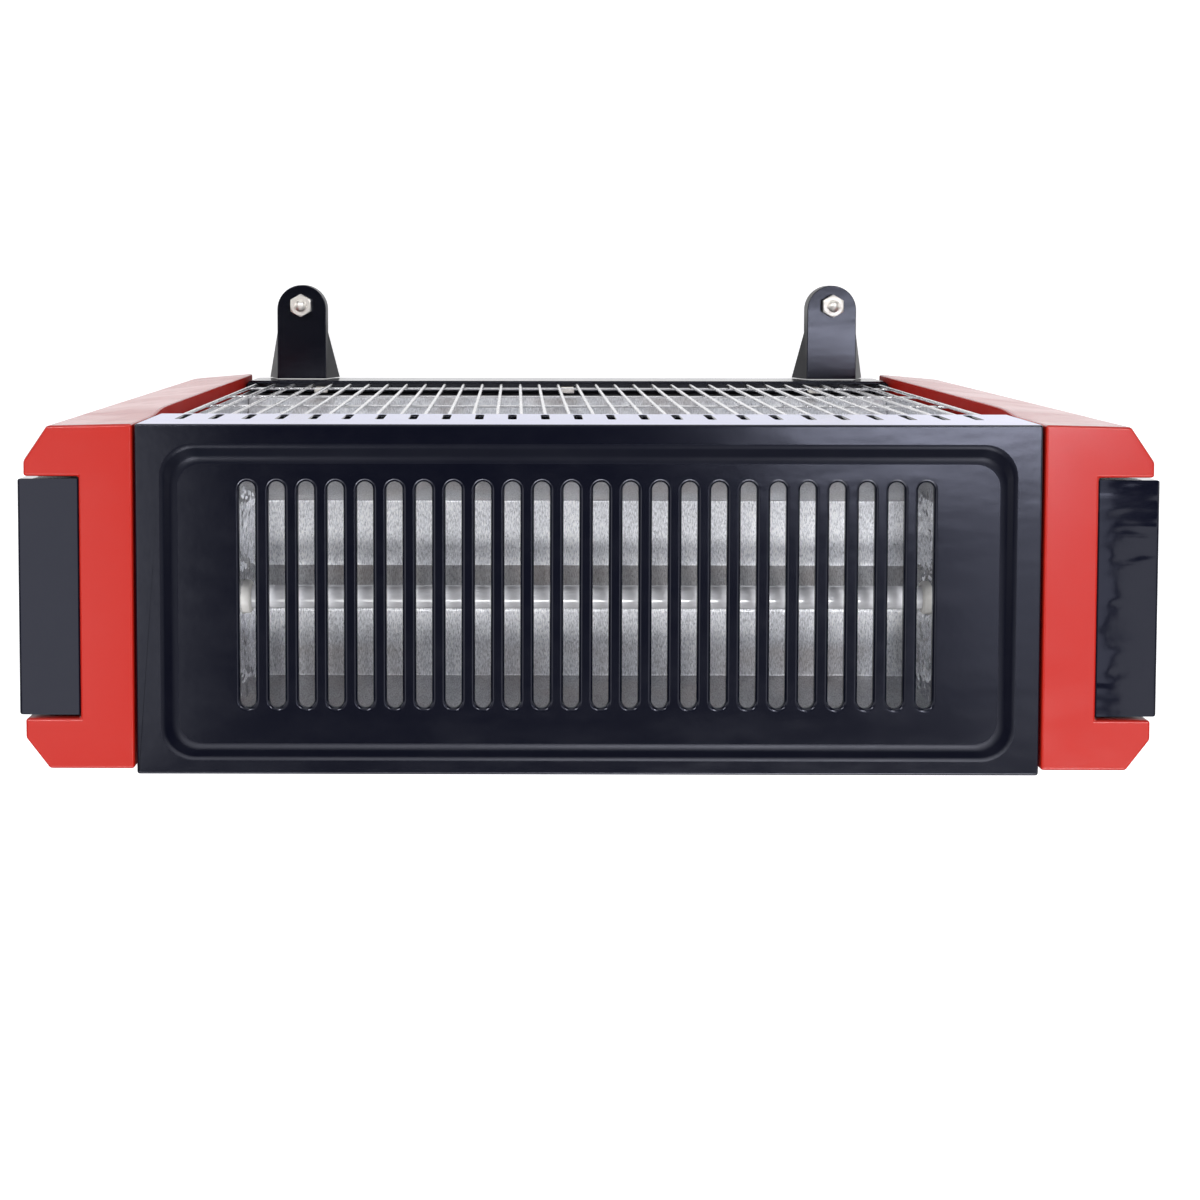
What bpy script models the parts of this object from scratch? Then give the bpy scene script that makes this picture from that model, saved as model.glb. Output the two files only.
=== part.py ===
"""Upright quartz room heater with two front tubes, a top-warming tube and moulded side caps.

Metres, +Z up. The wire guard faces -Y and the origin is on the floor under the middle.
"""

import math

import bmesh
import bpy
from mathutils import Matrix, Vector

# Steel body
BODY_WIDTH = 0.318
BODY_DEPTH = 0.124
BODY_HEIGHT = 0.325
GROUND_CLEARANCE = 0.010
SHEET = 0.0007
SEAM = 0.0003
BEND_RADIUS = 0.002
BEND_STEPS = 2
FLANGE_HEIGHT = 0.012
FRONT_APRON_TOP = 0.050
FRONT_APRON_BOTTOM = 0.030
APRON_RETURN = 0.004
APRON_SLANT = 0.003
HEM_THICKNESS = 0.0017
HEM_HEIGHT = 0.006
HEM_RISE = 0.0008
PAN_EMBOSS_RISE = 0.0015
EDGE_DROP = 0.0004
TRAY_CORNER = 0.001
CUT_PAST = 0.004

# Embossed field of the top panel
EMBOSS_SIDE_MARGIN = 0.0097
EMBOSS_FRONT_MARGIN = 0.0080
EMBOSS_REAR_MARGIN = 0.0060
EMBOSS_BAND = 0.004
EMBOSS_RISE = 0.0022
EMBOSS_RADIUS = 0.0105
CORNER_STEPS = 3

# Warm-air slots in the top panel, each with a collar drawn down through the sheet
SLOT_SIDE_MARGIN = 0.0380
SLOT_FRONT_MARGIN = 0.0203
SLOT_REAR_MARGIN = 0.0240
SLOT_PITCH = 0.0104
SLOT_WIDTH = 0.0055
SLOT_MIDDLE_X = 0.0008
SLOT_END_STEPS = 4
COLLAR_WIDTH = 0.0012
COLLAR_ROUND = 0.0012
COLLAR_DEPTH = 0.0026

# Vent slots in the front apron of the top panel
VENT_SIDE_MARGIN = 0.0120
VENT_PITCH = 0.01207
VENT_MIDDLE_X = 0.0025
VENT_WIDTH = 0.0032
VENT_LENGTH = 0.0235
VENT_DROP = 0.0348

# Convection slots in the bottom pan and the rear cover
PAN_VENT_SIDE_MARGIN = 0.084
PAN_VENT_PITCH = 0.020
PAN_VENT_WIDTH = 0.005
PAN_VENT_LENGTH = 0.050
REAR_VENT_SIDE_MARGIN = 0.048
REAR_VENT_PITCH = 0.024
REAR_VENT_WIDTH = 0.005
REAR_VENT_LENGTH = 0.042
REAR_VENT_RISE = 0.075
REAR_VENT_DROP = 0.070

# Moulded side caps
CAP_GAP = 0.0009
CAP_WIDTH = 0.0383
CAP_CHAMFER_WIDTH = 0.0084
CAP_CHAMFER_FRONT = 0.0124
CAP_CHAMFER_REAR = 0.0110
CAP_FRONT_SETBACK = 0.0007
CAP_FRONT_RISE = 0.0020
CAP_RAMP_TOP = 0.044
CAP_RAMP_LENGTH = 0.020
CAP_REAR_SETBACK = 0.0018
CAP_WALL = 0.0025
CAP_EDGE = 0.0012
CAP_BOTTOM_ROUND = 0.006
CAP_FOOT_SETBACK = 0.001
CAP_OPENING_MARGIN = 0.016

# Grip strips set in a notch of each side cap
GRIP_THICKNESS = 0.0218
GRIP_FRONT_MARGIN = 0.0195
GRIP_REAR_MARGIN = 0.0207
GRIP_WALL = 0.0025
GRIP_NOTCH_GAP = 0.0010
GRIP_PROUD = 0.0027
GRIP_EDGE = 0.0010
GRIP_END_GAP = 0.0020
POCKET_HEIGHT = 0.026
POCKET_WIDTH = 0.054
POCKET_DEPTH = 0.013
POCKET_DROP = 0.070
POCKET_RADIUS = 0.006

# Front wire guard
GUARD_SIDE_MARGIN = 0.0050
GUARD_PITCH = 0.0093
GUARD_WIRE = 0.0018
GUARD_CROSS_WIRE = 0.0018
GUARD_CROSS_PITCH = 0.066
GUARD_OVERLAP = 0.0003
GUARD_FOOT = 0.011
GUARD_FOOT_BACK = 0.0008
GUARD_HIDDEN_TOP = 0.006
WIRE_SIDES = 4

# Guard clips along the bottom edge
CLIP_WIDTH = 0.006
CLIP_SHEET = 0.0008
CLIP_DROP = 0.018
CLIP_EDGE_GAPS = 3

# Inner sheet metal
END_PLATE_FRONT_MARGIN = 0.0055
END_PLATE_RETURN = 0.012
TOP_TROUGH_DEPTH = 0.041
TOP_TROUGH_MARGINS = (0.0320, 0.0275)
TOP_TROUGH_RIM_MARGINS = (0.0182, 0.0210)
TOP_TROUGH_LIP = 0.006
TOP_WALL_GAP = 0.0004
TOP_WALL_MARGIN = 0.003
TOP_WALL_TAB = 0.008
FRONT_TROUGH_RISE = 0.012
FRONT_TROUGH_DEPTH = 0.0480
FRONT_TROUGH_LIP_DEPTH = 0.0075
FRONT_TROUGH_RIDGE_DEPTH = 0.0260
FRONT_TROUGH_HALF_FLAT = 0.024
FRONT_TROUGH_SHOULDER = 0.018
FRONT_TROUGH_SHOULDER_DEPTH = 0.0390

# Quartz tubes, ceramic end caps and heating coils
TUBE_DIAMETER = 0.0083
TUBE_WALL = 0.0011
TUBE_IN_CAP = 0.006
TOP_TUBE_DROP = 0.018
TOP_TUBE_Y = 0.0012
FRONT_TUBE_DEPTH = 0.029
TOP_CERAMIC_INSIDE = 0.0049
FRONT_CERAMIC_INSIDE = 0.0157
CERAMIC_DIAMETER = 0.0119
CERAMIC_LENGTH = 0.022
CERAMIC_STEPS = 10
CERAMIC_SHOULDER = 0.0030
CERAMIC_SHOULDER_DIAMETER = 0.0160
TERMINAL_DIAMETER = 0.0030
TERMINAL_LENGTH = 0.009
COIL_DIAMETER = 0.0046
COIL_WIRE = 0.0008
COIL_TURNS = 11
COIL_POINTS = 4
COIL_END_GAP = 0.004
COIL_LEAD_GAP = 0.001

# Leg brackets, feet and their fasteners
LEG_SIDE_MARGIN = 0.026
LEG_REACH = 0.0469
LEG_WIDTH = 0.0244
LEG_BASE_WIDTH = 0.0355
LEG_SHEET = 0.0012
LEG_TOP = 0.026
LEG_WALL_NOSE = 0.012
LEG_WALL_BASE = 0.0155
LEG_FLARE_START = 0.5
LEG_HOLE = 0.0068
LEG_NOSE_STEPS = 8
LEG_EDGE = 0.0008
STUD_DIAMETER = 0.006
STUD_OVER_NUT = 0.0028
STUD_IN_FOOT = 0.014
NUT_FLATS = 0.010
NUT_HEIGHT = 0.005
NUT_CHAMFER = 0.0007
FOOT_TOP_DIAMETER = 0.0166
FOOT_DIAMETER = 0.0180
FOOT_EDGE = 0.0012
FOOT_COLLAR = 0.003
STUD_POINT = 0.0016
NOSE_HOLE_FROM_TIP = 0.0102

# Rocker switches in the right grip strip
SWITCH_COUNT = 3
SWITCH_PITCH = 0.034
SWITCH_FIRST_DROP = 0.122
SWITCH_BAY = (0.102, 0.022, 0.0046)
SWITCH_BAY_RADIUS = 0.003
SWITCH_BEZEL = (0.0240, 0.0160, 0.0018)
SWITCH_BODY = (0.0204, 0.0136, 0.0145)
SWITCH_WINDOW = (0.0186, 0.0116)
SWITCH_WELL = 0.0078
SWITCH_CUT_GAP = 0.0003
SWITCH_BEZEL_EDGE = 0.0006
SWITCH_FLOOR_GAP = 0.002
ROCKER_TIP = 0.0026
ROCKER_DIP = 0.0014
ROCKER_SIDE = 0.0030
ROCKER_BELLY = 0.0058
ROCKER_EDGE = 0.0004
ROCKER_HALF = 0.0080
ROCKER_WIDTH = 0.0110
ROCKER_TILT = math.radians(9)
ROCKER_PIVOT_DEPTH = 0.0020
PIN_DIAMETER = 0.0022
PIN_REACH = 0.0004
PIN_CLEARANCE = 0.0003

# Tip-over switch on the bottom pan
TIP_SIDE_MARGIN = 0.044
TIP_Y = 0.030
TIP_BODY = (0.024, 0.016, 0.026)
PLUNGER_DIAMETER = 0.006
PLUNGER_PAD = 0.010
PLUNGER_PAD_HEIGHT = 0.0025
PLUNGER_LENGTH = 0.026
PLUNGER_CLEARANCE = 0.0003
PLUNGER_HEADROOM = 0.003
PLUNGER_EDGE = 0.0006

# Cord inlet, terminal block and thermal cut-out
CORD_BUSH_SIDE_MARGIN = 0.034
CORD_BUSH_Z = 0.045
CORD_BUSH_DIAMETER = 0.014
CORD_BUSH_FLANGE = 0.019
CORD_BUSH_BORE = 0.0072
CORD_BUSH_INSIDE = 0.010
CORD_BUSH_LEAD = 0.002
CORD_BUSH_TAPER = 0.001
CORD_BUSH_FACE = 0.0022
CORD_BUSH_NECK = 0.0030
CORD_BUSH_TAIL = 0.0080
TERMINAL_BLOCK = (0.012, 0.034, 0.016)
TERMINAL_BLOCK_Z = 0.080
TERMINAL_HOLE = 0.004
CUTOUT_DIAMETER = 0.016
CUTOUT_HEIGHT = 0.008
CUTOUT_DROP = 0.057

# Worked out from the sizes above
TOP = GROUND_CLEARANCE + BODY_HEIGHT
MARGIN_TOP = TOP - EMBOSS_RISE
HALF_WIDTH = BODY_WIDTH / 2
FRONT = -BODY_DEPTH / 2
REAR = BODY_DEPTH / 2
WINDOW_TOP = MARGIN_TOP - FRONT_APRON_TOP
WINDOW_BOTTOM = GROUND_CLEARANCE + FRONT_APRON_BOTTOM
WINDOW_HEIGHT = WINDOW_TOP - WINDOW_BOTTOM
INSIDE_BOTTOM = GROUND_CLEARANCE + PAN_EMBOSS_RISE + BEND_RADIUS + SEAM
INSIDE_TOP = MARGIN_TOP - EDGE_DROP - BEND_RADIUS - SEAM
PANEL_UNDERSIDE = TOP - SHEET
SLOT_LENGTH = BODY_DEPTH - SLOT_FRONT_MARGIN - SLOT_REAR_MARGIN
SLOT_MIDDLE_Y = (SLOT_FRONT_MARGIN - SLOT_REAR_MARGIN) / 2
REAR_COVER_Y = REAR - SHEET - SEAM
REAR_VENT_ROWS = (GROUND_CLEARANCE + REAR_VENT_RISE, TOP - REAR_VENT_DROP)


def fitted(margin, pitch):
    """How many places a pitch apart fit across the body between two side margins."""
    return int((BODY_WIDTH - 2 * margin) / pitch) + 1


SLOT_COUNT = fitted(SLOT_SIDE_MARGIN, SLOT_PITCH)
VENT_COUNT = fitted(VENT_SIDE_MARGIN, VENT_PITCH)
PAN_VENT_COUNT = fitted(PAN_VENT_SIDE_MARGIN, PAN_VENT_PITCH)
REAR_VENT_COUNT = fitted(REAR_VENT_SIDE_MARGIN, REAR_VENT_PITCH)
GUARD_WIRES = fitted(GUARD_SIDE_MARGIN, GUARD_PITCH)
GUARD_Y = FRONT + SHEET + SEAM + GUARD_WIRE / 2
GUARD_CROSS_Y = GUARD_Y + (GUARD_WIRE + GUARD_CROSS_WIRE) / 2 - GUARD_OVERLAP
HEM_TOP = WINDOW_BOTTOM + HEM_RISE
GUARD_BOTTOM = HEM_TOP + SEAM
GUARD_FIRST_CROSS = GUARD_BOTTOM + GUARD_FOOT
GUARD_CROSS_COUNT = int((WINDOW_TOP - GUARD_FIRST_CROSS) / GUARD_CROSS_PITCH) + 1
END_PLATE_OUTER = HALF_WIDTH - SHEET - SEAM
END_PLATE_INNER = END_PLATE_OUTER - SHEET
FRONT_TROUGH_Y = FRONT + FRONT_TROUGH_DEPTH
FRONT_TROUGH_LIP_Y = FRONT + FRONT_TROUGH_LIP_DEPTH
FRONT_TROUGH_RIDGE_Y = FRONT + FRONT_TROUGH_RIDGE_DEPTH
FRONT_TROUGH_SHOULDER_Y = FRONT + FRONT_TROUGH_SHOULDER_DEPTH
TOP_TROUGH_Z = TOP - TOP_TROUGH_DEPTH
TOP_TROUGH_FRONT = FRONT + TOP_TROUGH_MARGINS[0]
TOP_TROUGH_REAR = REAR - TOP_TROUGH_MARGINS[1]
TOP_TROUGH_RIM_FRONT = FRONT + TOP_TROUGH_RIM_MARGINS[0]
TOP_TROUGH_RIM_REAR = REAR - TOP_TROUGH_RIM_MARGINS[1]
LAST_SLOT_EDGE = SLOT_MIDDLE_X + (SLOT_COUNT - 1) / 2 * SLOT_PITCH + SLOT_WIDTH / 2 + COLLAR_WIDTH
TOP_WALL_X = LAST_SLOT_EDGE + TOP_WALL_GAP
TOP_SEAT = TOP_WALL_X + SHEET + SEAM
FRONT_SEAT = END_PLATE_OUTER + SEAM
FRONT_TUBE_Y = FRONT + FRONT_TUBE_DEPTH
FRONT_TUBE_HALF = END_PLATE_OUTER - FRONT_CERAMIC_INSIDE
TOP_TUBE_HALF = TOP_WALL_X - TOP_CERAMIC_INSIDE
TUBES = {
    "upper": (FRONT_TUBE_Y, WINDOW_BOTTOM + 0.75 * WINDOW_HEIGHT, FRONT_TUBE_HALF, FRONT_SEAT),
    "lower": (FRONT_TUBE_Y, WINDOW_BOTTOM + 0.25 * WINDOW_HEIGHT, FRONT_TUBE_HALF, FRONT_SEAT),
    "top": (TOP_TUBE_Y, TOP - TOP_TUBE_DROP, TOP_TUBE_HALF, TOP_SEAT),
}
CAP_INNER = HALF_WIDTH + CAP_GAP
CAP_OUTER = CAP_INNER + CAP_WIDTH
CAP_REAR_Y = REAR - CAP_REAR_SETBACK
GRIP_OUTER = CAP_OUTER + GRIP_PROUD
GRIP_INNER = GRIP_OUTER - GRIP_THICKNESS
GRIP_FRONT_Y = FRONT + GRIP_FRONT_MARGIN
GRIP_REAR_Y = REAR - GRIP_REAR_MARGIN
LEG_X = HALF_WIDTH - LEG_SIDE_MARGIN
TIP_X = TIP_SIDE_MARGIN - HALF_WIDTH
CORD_BUSH_X = HALF_WIDTH - CORD_BUSH_SIDE_MARGIN
CUTOUT_Z = TOP - CUTOUT_DROP

MATERIALS = {
    "black_enamel": ((0.010, 0.011, 0.022), 0.18, 0.0),
    "red_plastic": ((0.60, 0.055, 0.035), 0.32, 0.0),
    "black_plastic": ((0.022, 0.023, 0.034), 0.15, 0.0),
    "guard_chrome": ((0.62, 0.62, 0.63), 0.22, 1.0),
    "galvanised": ((0.55, 0.56, 0.58), 0.34, 1.0),
    "quartz": ((0.86, 0.86, 0.88), 0.22, 0.0),
    "ceramic": ((0.82, 0.79, 0.74), 0.55, 0.0),
    "coil_alloy": ((0.25, 0.22, 0.20), 0.45, 1.0),
    "nickel": ((0.62, 0.56, 0.50), 0.25, 1.0),
    "rubber": ((0.020, 0.020, 0.020), 0.75, 0.0),
    "switch_black": ((0.018, 0.018, 0.020), 0.35, 0.0),
    "phenolic": ((0.05, 0.035, 0.028), 0.50, 0.0),
}


def clear_scene():
    for obj in list(bpy.data.objects):
        bpy.data.objects.remove(obj, do_unlink=True)


def material(name):
    found = bpy.data.materials.get(name)
    if found:
        return found
    colour, roughness, metallic = MATERIALS[name]
    made = bpy.data.materials.new(name)
    made.use_nodes = True
    shader = made.node_tree.nodes["Principled BSDF"]
    shader.inputs["Base Color"].default_value = (*colour, 1.0)
    shader.inputs["Roughness"].default_value = roughness
    shader.inputs["Metallic"].default_value = metallic
    return made


def group(name, location=(0.0, 0.0, 0.0), parent=None):
    empty = bpy.data.objects.new(name, None)
    bpy.context.collection.objects.link(empty)
    empty.location = location
    empty.parent = parent
    return empty


def add_object(name, bm, finish, parent, location=(0.0, 0.0, 0.0), smooth=40):
    """A mesh object from a bmesh, with its faces turned outwards and its round sides smooth."""
    bmesh.ops.recalc_face_normals(bm, faces=bm.faces)
    mesh = bpy.data.meshes.new(name)
    bm.to_mesh(mesh)
    bm.free()
    mesh.shade_smooth()
    mesh.set_sharp_from_angle(angle=math.radians(smooth))
    if finish:
        mesh.materials.append(material(finish))
    obj = bpy.data.objects.new(name, mesh)
    bpy.context.collection.objects.link(obj)
    obj.location = location
    obj.parent = parent
    return obj


def helper(name, bm, parent=None):
    """A cutter or a piece to be joined, left out of the finished model."""
    obj = add_object(name, bm, None, parent)
    obj.hide_render = True
    obj.display_type = "WIRE"
    return obj


def boolean(obj, other, operation):
    step = obj.modifiers.new(other.name, "BOOLEAN")
    step.operation = operation
    step.solver = "EXACT"
    step.object = other


def bevel(obj, width, segments=2, angle=30):
    step = obj.modifiers.new("edges", "BEVEL")
    step.width = width
    step.segments = segments
    step.limit_method = "ANGLE"
    step.angle_limit = math.radians(angle)


def add_loft(bm, loops, cyclic=False):
    """Closed skin through loops of equal length: capped at both ends, or joined round to the start."""
    rings = [[bm.verts.new(point) for point in loop] for loop in loops]
    pairs = list(zip(rings, rings[1:]))
    if cyclic:
        pairs.append((rings[-1], rings[0]))
    else:
        bm.faces.new(rings[0][::-1])
        bm.faces.new(rings[-1])
    count = len(rings[0])
    for low, high in pairs:
        for i in range(count):
            j = (i + 1) % count
            bm.faces.new((low[i], low[j], high[j], high[i]))


def prism(bm, outline, axis, low, high):
    """Extrudes a flat outline along an axis. The outline holds the other two axes' values in order."""
    def at(point, along):
        values = list(point)
        values.insert("XYZ".index(axis), along)
        return Vector(values)

    add_loft(bm, [[at(p, low) for p in outline], [at(p, high) for p in outline]])


def box(bm, low, high):
    outline = [(low[0], low[1]), (high[0], low[1]), (high[0], high[1]), (low[0], high[1])]
    prism(bm, outline, "Z", low[2], high[2])


def arc(centre, radius, start, end, steps):
    """Points from one angle in degrees to another, both ends included."""
    turn = [math.radians(start + (end - start) * i / steps) for i in range(steps + 1)]
    return [(centre[0] + radius * math.cos(a), centre[1] + radius * math.sin(a)) for a in turn]


def rounded_rect(low, high, radius, steps):
    """Corner arcs in order from the +X +Y corner, anticlockwise."""
    x0, y0 = low[0] + radius, low[1] + radius
    x1, y1 = high[0] - radius, high[1] - radius
    corners = ((x1, y1, 0), (x0, y1, 90), (x0, y0, 180), (x1, y0, 270))
    return [p for x, y, a in corners for p in arc((x, y), radius, a, a + 90, steps)]


def stadium(centre, radius, half_straight, steps, along="Y"):
    cx, cy = centre
    if along == "Y":
        ends = arc((cx, cy + half_straight), radius, 0, 180, steps)
        return ends + arc((cx, cy - half_straight), radius, 180, 360, steps)
    ends = arc((cx + half_straight, cy), radius, -90, 90, steps)
    return ends + arc((cx - half_straight, cy), radius, 90, 270, steps)


def turned(bm, profile, steps, axis="Z", centre=(0.0, 0.0, 0.0)):
    """Revolves a closed profile of (radius, height) points; a point at radius 0 closes the end."""
    origin = Vector(centre)
    spin = {"Z": Matrix.Identity(3), "X": Matrix.Rotation(math.radians(90), 3, "Y")}[axis]
    rings = []
    for radius, height in profile:
        if radius == 0.0:
            rings.append([bm.verts.new(origin + spin @ Vector((0.0, 0.0, height)))])
            continue
        ring = []
        for i in range(steps):
            a = 2 * math.pi * i / steps
            point = Vector((radius * math.cos(a), radius * math.sin(a), height))
            ring.append(bm.verts.new(origin + spin @ point))
        rings.append(ring)
    closed = profile[0][0] > 0.0
    pairs = list(zip(rings, rings[1:])) + ([(rings[-1], rings[0])] if closed else [])
    for low, high in pairs:
        for i in range(steps):
            j = (i + 1) % steps
            corners = [low[i % len(low)], low[j % len(low)], high[j % len(high)], high[i % len(high)]]
            face = []
            for vert in corners:
                if vert not in face:
                    face.append(vert)
            if len(face) > 2:
                bm.faces.new(face)


def swept(bm, path, radius, sides):
    """A round wire along a path of points, with flat ends."""
    points = [Vector(p) for p in path]
    loops = []
    side = None
    for i, point in enumerate(points):
        before = points[max(i - 1, 0)]
        after = points[min(i + 1, len(points) - 1)]
        forward = (after - before).normalized()
        if side is None:
            side = forward.orthogonal().normalized()
        side = (side - forward * side.dot(forward)).normalized()
        up = forward.cross(side)
        ring = []
        for k in range(sides):
            a = 2 * math.pi * (k + 0.5) / sides
            ring.append(point + (side * math.cos(a) + up * math.sin(a)) * radius)
        loops.append(ring)
    add_loft(bm, loops)


def tray_loop(inset, height, radius, front_height=None):
    """One level of a folded tray's skin, seen in plan. The front part can hang lower than the rest."""
    low = (-HALF_WIDTH + inset, FRONT + inset)
    high = (HALF_WIDTH - inset, REAR - inset)
    outline = rounded_rect(low, high, radius, CORNER_STEPS)
    per_corner = CORNER_STEPS + 1
    left_return = [(low[0], FRONT + APRON_RETURN + APRON_SLANT), (low[0], FRONT + APRON_RETURN)]
    right_return = [(high[0], FRONT + APRON_RETURN), (high[0], FRONT + APRON_RETURN + APRON_SLANT)]
    outline = outline[: 2 * per_corner] + left_return + outline[2 * per_corner :] + right_return
    front_height = height if front_height is None else front_height
    limit = FRONT + APRON_RETURN + 0.5 * APRON_SLANT
    return [Vector((x, y, front_height if y < limit else height)) for x, y in outline]


def emboss_loop(spread, height, radius):
    """An outline of the raised field with the same number of points as a tray loop."""
    low = (-HALF_WIDTH + EMBOSS_SIDE_MARGIN + spread, FRONT + EMBOSS_FRONT_MARGIN + spread)
    high = (HALF_WIDTH - EMBOSS_SIDE_MARGIN - spread, REAR - EMBOSS_REAR_MARGIN - spread)
    outline = rounded_rect(low, high, radius, CORNER_STEPS)
    per_corner = CORNER_STEPS + 1
    third = (high[1] - low[1]) / 3
    left = [(low[0], low[1] + 2 * third), (low[0], low[1] + third)]
    right = [(high[0], low[1] + third), (high[0], low[1] + 2 * third)]
    outline = outline[: 2 * per_corner] + left + outline[2 * per_corner :] + right
    return [Vector((x, y, height)) for x, y in outline]


def folded_tray(face, rise, drop, apron):
    """Skin loops of a tray folded from sheet: a raised field, the margin, a bend and the flanges.

    It opens downwards from z = face, and all heights are measured down from there.
    """
    inner_radius = BEND_RADIUS - SHEET
    corner = TRAY_CORNER
    flat_inset = BEND_RADIUS
    loops = [
        emboss_loop(EMBOSS_BAND, face, EMBOSS_RADIUS - EMBOSS_BAND),
        emboss_loop(0.0, face - rise, EMBOSS_RADIUS),
        tray_loop(flat_inset, face - rise - drop, corner),
    ]
    level = face - rise - drop
    for i in range(1, BEND_STEPS + 1):
        a = math.radians(90 * i / BEND_STEPS)
        out = BEND_RADIUS * math.sin(a)
        down = BEND_RADIUS * (1 - math.cos(a))
        loops.append(tray_loop(flat_inset - out, level - down, corner + out))
    foot = face - rise - FLANGE_HEIGHT
    front_foot = face - rise - apron
    loops.append(tray_loop(0.0, foot, corner + BEND_RADIUS, front_foot))
    loops.append(tray_loop(SHEET, foot, corner + inner_radius, front_foot))
    for i in range(BEND_STEPS, 0, -1):
        a = math.radians(90 * i / BEND_STEPS)
        out = inner_radius * math.sin(a)
        down = BEND_RADIUS - inner_radius * math.cos(a)
        loops.append(tray_loop(flat_inset - out, level - down, corner + out))
    loops.append(tray_loop(flat_inset, level - SHEET, corner))
    loops.append(emboss_loop(0.0, face - rise - SHEET, EMBOSS_RADIUS))
    loops.append(emboss_loop(EMBOSS_BAND, face - SHEET, EMBOSS_RADIUS - EMBOSS_BAND))
    return loops


def row(count, pitch, middle=0.0):
    return [middle + (i - (count - 1) / 2) * pitch for i in range(count)]


def make_top_panel(parent):
    bm = bmesh.new()
    add_loft(bm, folded_tray(TOP, EMBOSS_RISE, EDGE_DROP, FRONT_APRON_TOP))
    panel = add_object("top_panel", bm, "black_enamel", parent)

    bm = bmesh.new()
    for x in row(VENT_COUNT, VENT_PITCH, VENT_MIDDLE_X):
        half = (VENT_LENGTH - VENT_WIDTH) / 2
        outline = stadium((x, MARGIN_TOP - VENT_DROP), VENT_WIDTH / 2, half, 3)
        prism(bm, outline, "Y", FRONT - CUT_PAST, FRONT + CUT_PAST)
    boolean(panel, helper("apron_vent_cutter", bm), "DIFFERENCE")

    half = (SLOT_LENGTH - SLOT_WIDTH) / 2
    inner = SLOT_WIDTH / 2
    outer = inner + COLLAR_WIDTH
    bm = bmesh.new()
    for x in row(SLOT_COUNT, SLOT_PITCH, SLOT_MIDDLE_X):
        outline = stadium((x, SLOT_MIDDLE_Y), inner + SHEET, half, SLOT_END_STEPS)
        prism(bm, outline, "Z", TOP - COLLAR_DEPTH, TOP - 0.5 * SHEET)
    boolean(panel, helper("slot_collars", bm), "UNION")

    above = 0.25 * COLLAR_ROUND
    flare = ((outer, above), (outer, 0.0), (inner, -COLLAR_ROUND), (inner, -COLLAR_DEPTH - above))
    bm = bmesh.new()
    for x in row(SLOT_COUNT, SLOT_PITCH, SLOT_MIDDLE_X):
        loops = []
        for radius, height in flare:
            outline = stadium((x, SLOT_MIDDLE_Y), radius, half, SLOT_END_STEPS)
            loops.append([Vector((px, py, TOP + height)) for px, py in outline])
        add_loft(bm, loops)
    boolean(panel, helper("slot_cutter", bm), "DIFFERENCE")
    return panel


def make_bottom_pan(parent):
    bm = bmesh.new()
    add_loft(bm, folded_tray(0.0, PAN_EMBOSS_RISE, 0.0, FRONT_APRON_BOTTOM))
    for vert in bm.verts:
        vert.co.z = GROUND_CLEARANCE - vert.co.z
    pan = add_object("bottom_pan", bm, "black_enamel", parent)

    bm = bmesh.new()
    low = (-HALF_WIDTH + APRON_RETURN, FRONT + 0.8 * SHEET, HEM_TOP - HEM_HEIGHT)
    high = (HALF_WIDTH - APRON_RETURN, FRONT + SHEET + HEM_THICKNESS, HEM_TOP)
    box(bm, low, high)
    boolean(pan, helper("apron_hem", bm), "UNION")

    bm = bmesh.new()
    for x in row(PAN_VENT_COUNT, PAN_VENT_PITCH):
        half = (PAN_VENT_LENGTH - PAN_VENT_WIDTH) / 2
        outline = stadium((x, 0.0), PAN_VENT_WIDTH / 2, half, 3)
        prism(bm, outline, "Z", GROUND_CLEARANCE - CUT_PAST, GROUND_CLEARANCE + CUT_PAST)
    hole = arc((TIP_X, TIP_Y), PLUNGER_DIAMETER / 2 + 2 * PLUNGER_CLEARANCE, 0, 330, 11)
    prism(bm, hole, "Z", GROUND_CLEARANCE - CUT_PAST, GROUND_CLEARANCE + CUT_PAST)
    boolean(pan, helper("pan_cutter", bm), "DIFFERENCE")
    return pan


def make_rear_cover(parent):
    side = HALF_WIDTH - BEND_RADIUS - SEAM
    bm = bmesh.new()
    box(bm, (-side, REAR_COVER_Y - SHEET, INSIDE_BOTTOM), (side, REAR_COVER_Y, INSIDE_TOP))
    cover = add_object("rear_cover", bm, "black_enamel", parent)

    bm = bmesh.new()
    half = (REAR_VENT_LENGTH - REAR_VENT_WIDTH) / 2
    for z in REAR_VENT_ROWS:
        for x in row(REAR_VENT_COUNT, REAR_VENT_PITCH):
            outline = stadium((x, z), REAR_VENT_WIDTH / 2, half, 3)
            prism(bm, outline, "Y", REAR_COVER_Y - CUT_PAST, REAR_COVER_Y + CUT_PAST)
    radius = CORD_BUSH_DIAMETER / 2 + SEAM
    outline = arc((CORD_BUSH_X, CORD_BUSH_Z), radius, 0, 337.5, 15)
    prism(bm, outline, "Y", REAR_COVER_Y - CUT_PAST, REAR_COVER_Y + CUT_PAST)
    boolean(cover, helper("rear_cutter", bm), "DIFFERENCE")
    return cover


def cap_section(height, front_y, shrink=0.0):
    """Plan outline of a side cap on the +X side at one height."""
    outer = CAP_OUTER - shrink
    shoulder = CAP_OUTER - CAP_CHAMFER_WIDTH - shrink
    outline = (
        (CAP_INNER, front_y),
        (shoulder, FRONT + CAP_FRONT_SETBACK),
        (outer, FRONT + CAP_FRONT_SETBACK + CAP_CHAMFER_FRONT),
        (outer, CAP_REAR_Y - CAP_CHAMFER_REAR),
        (shoulder, CAP_REAR_Y),
        (CAP_INNER, CAP_REAR_Y),
    )
    return [Vector((x, y, height)) for x, y in outline]


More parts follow.
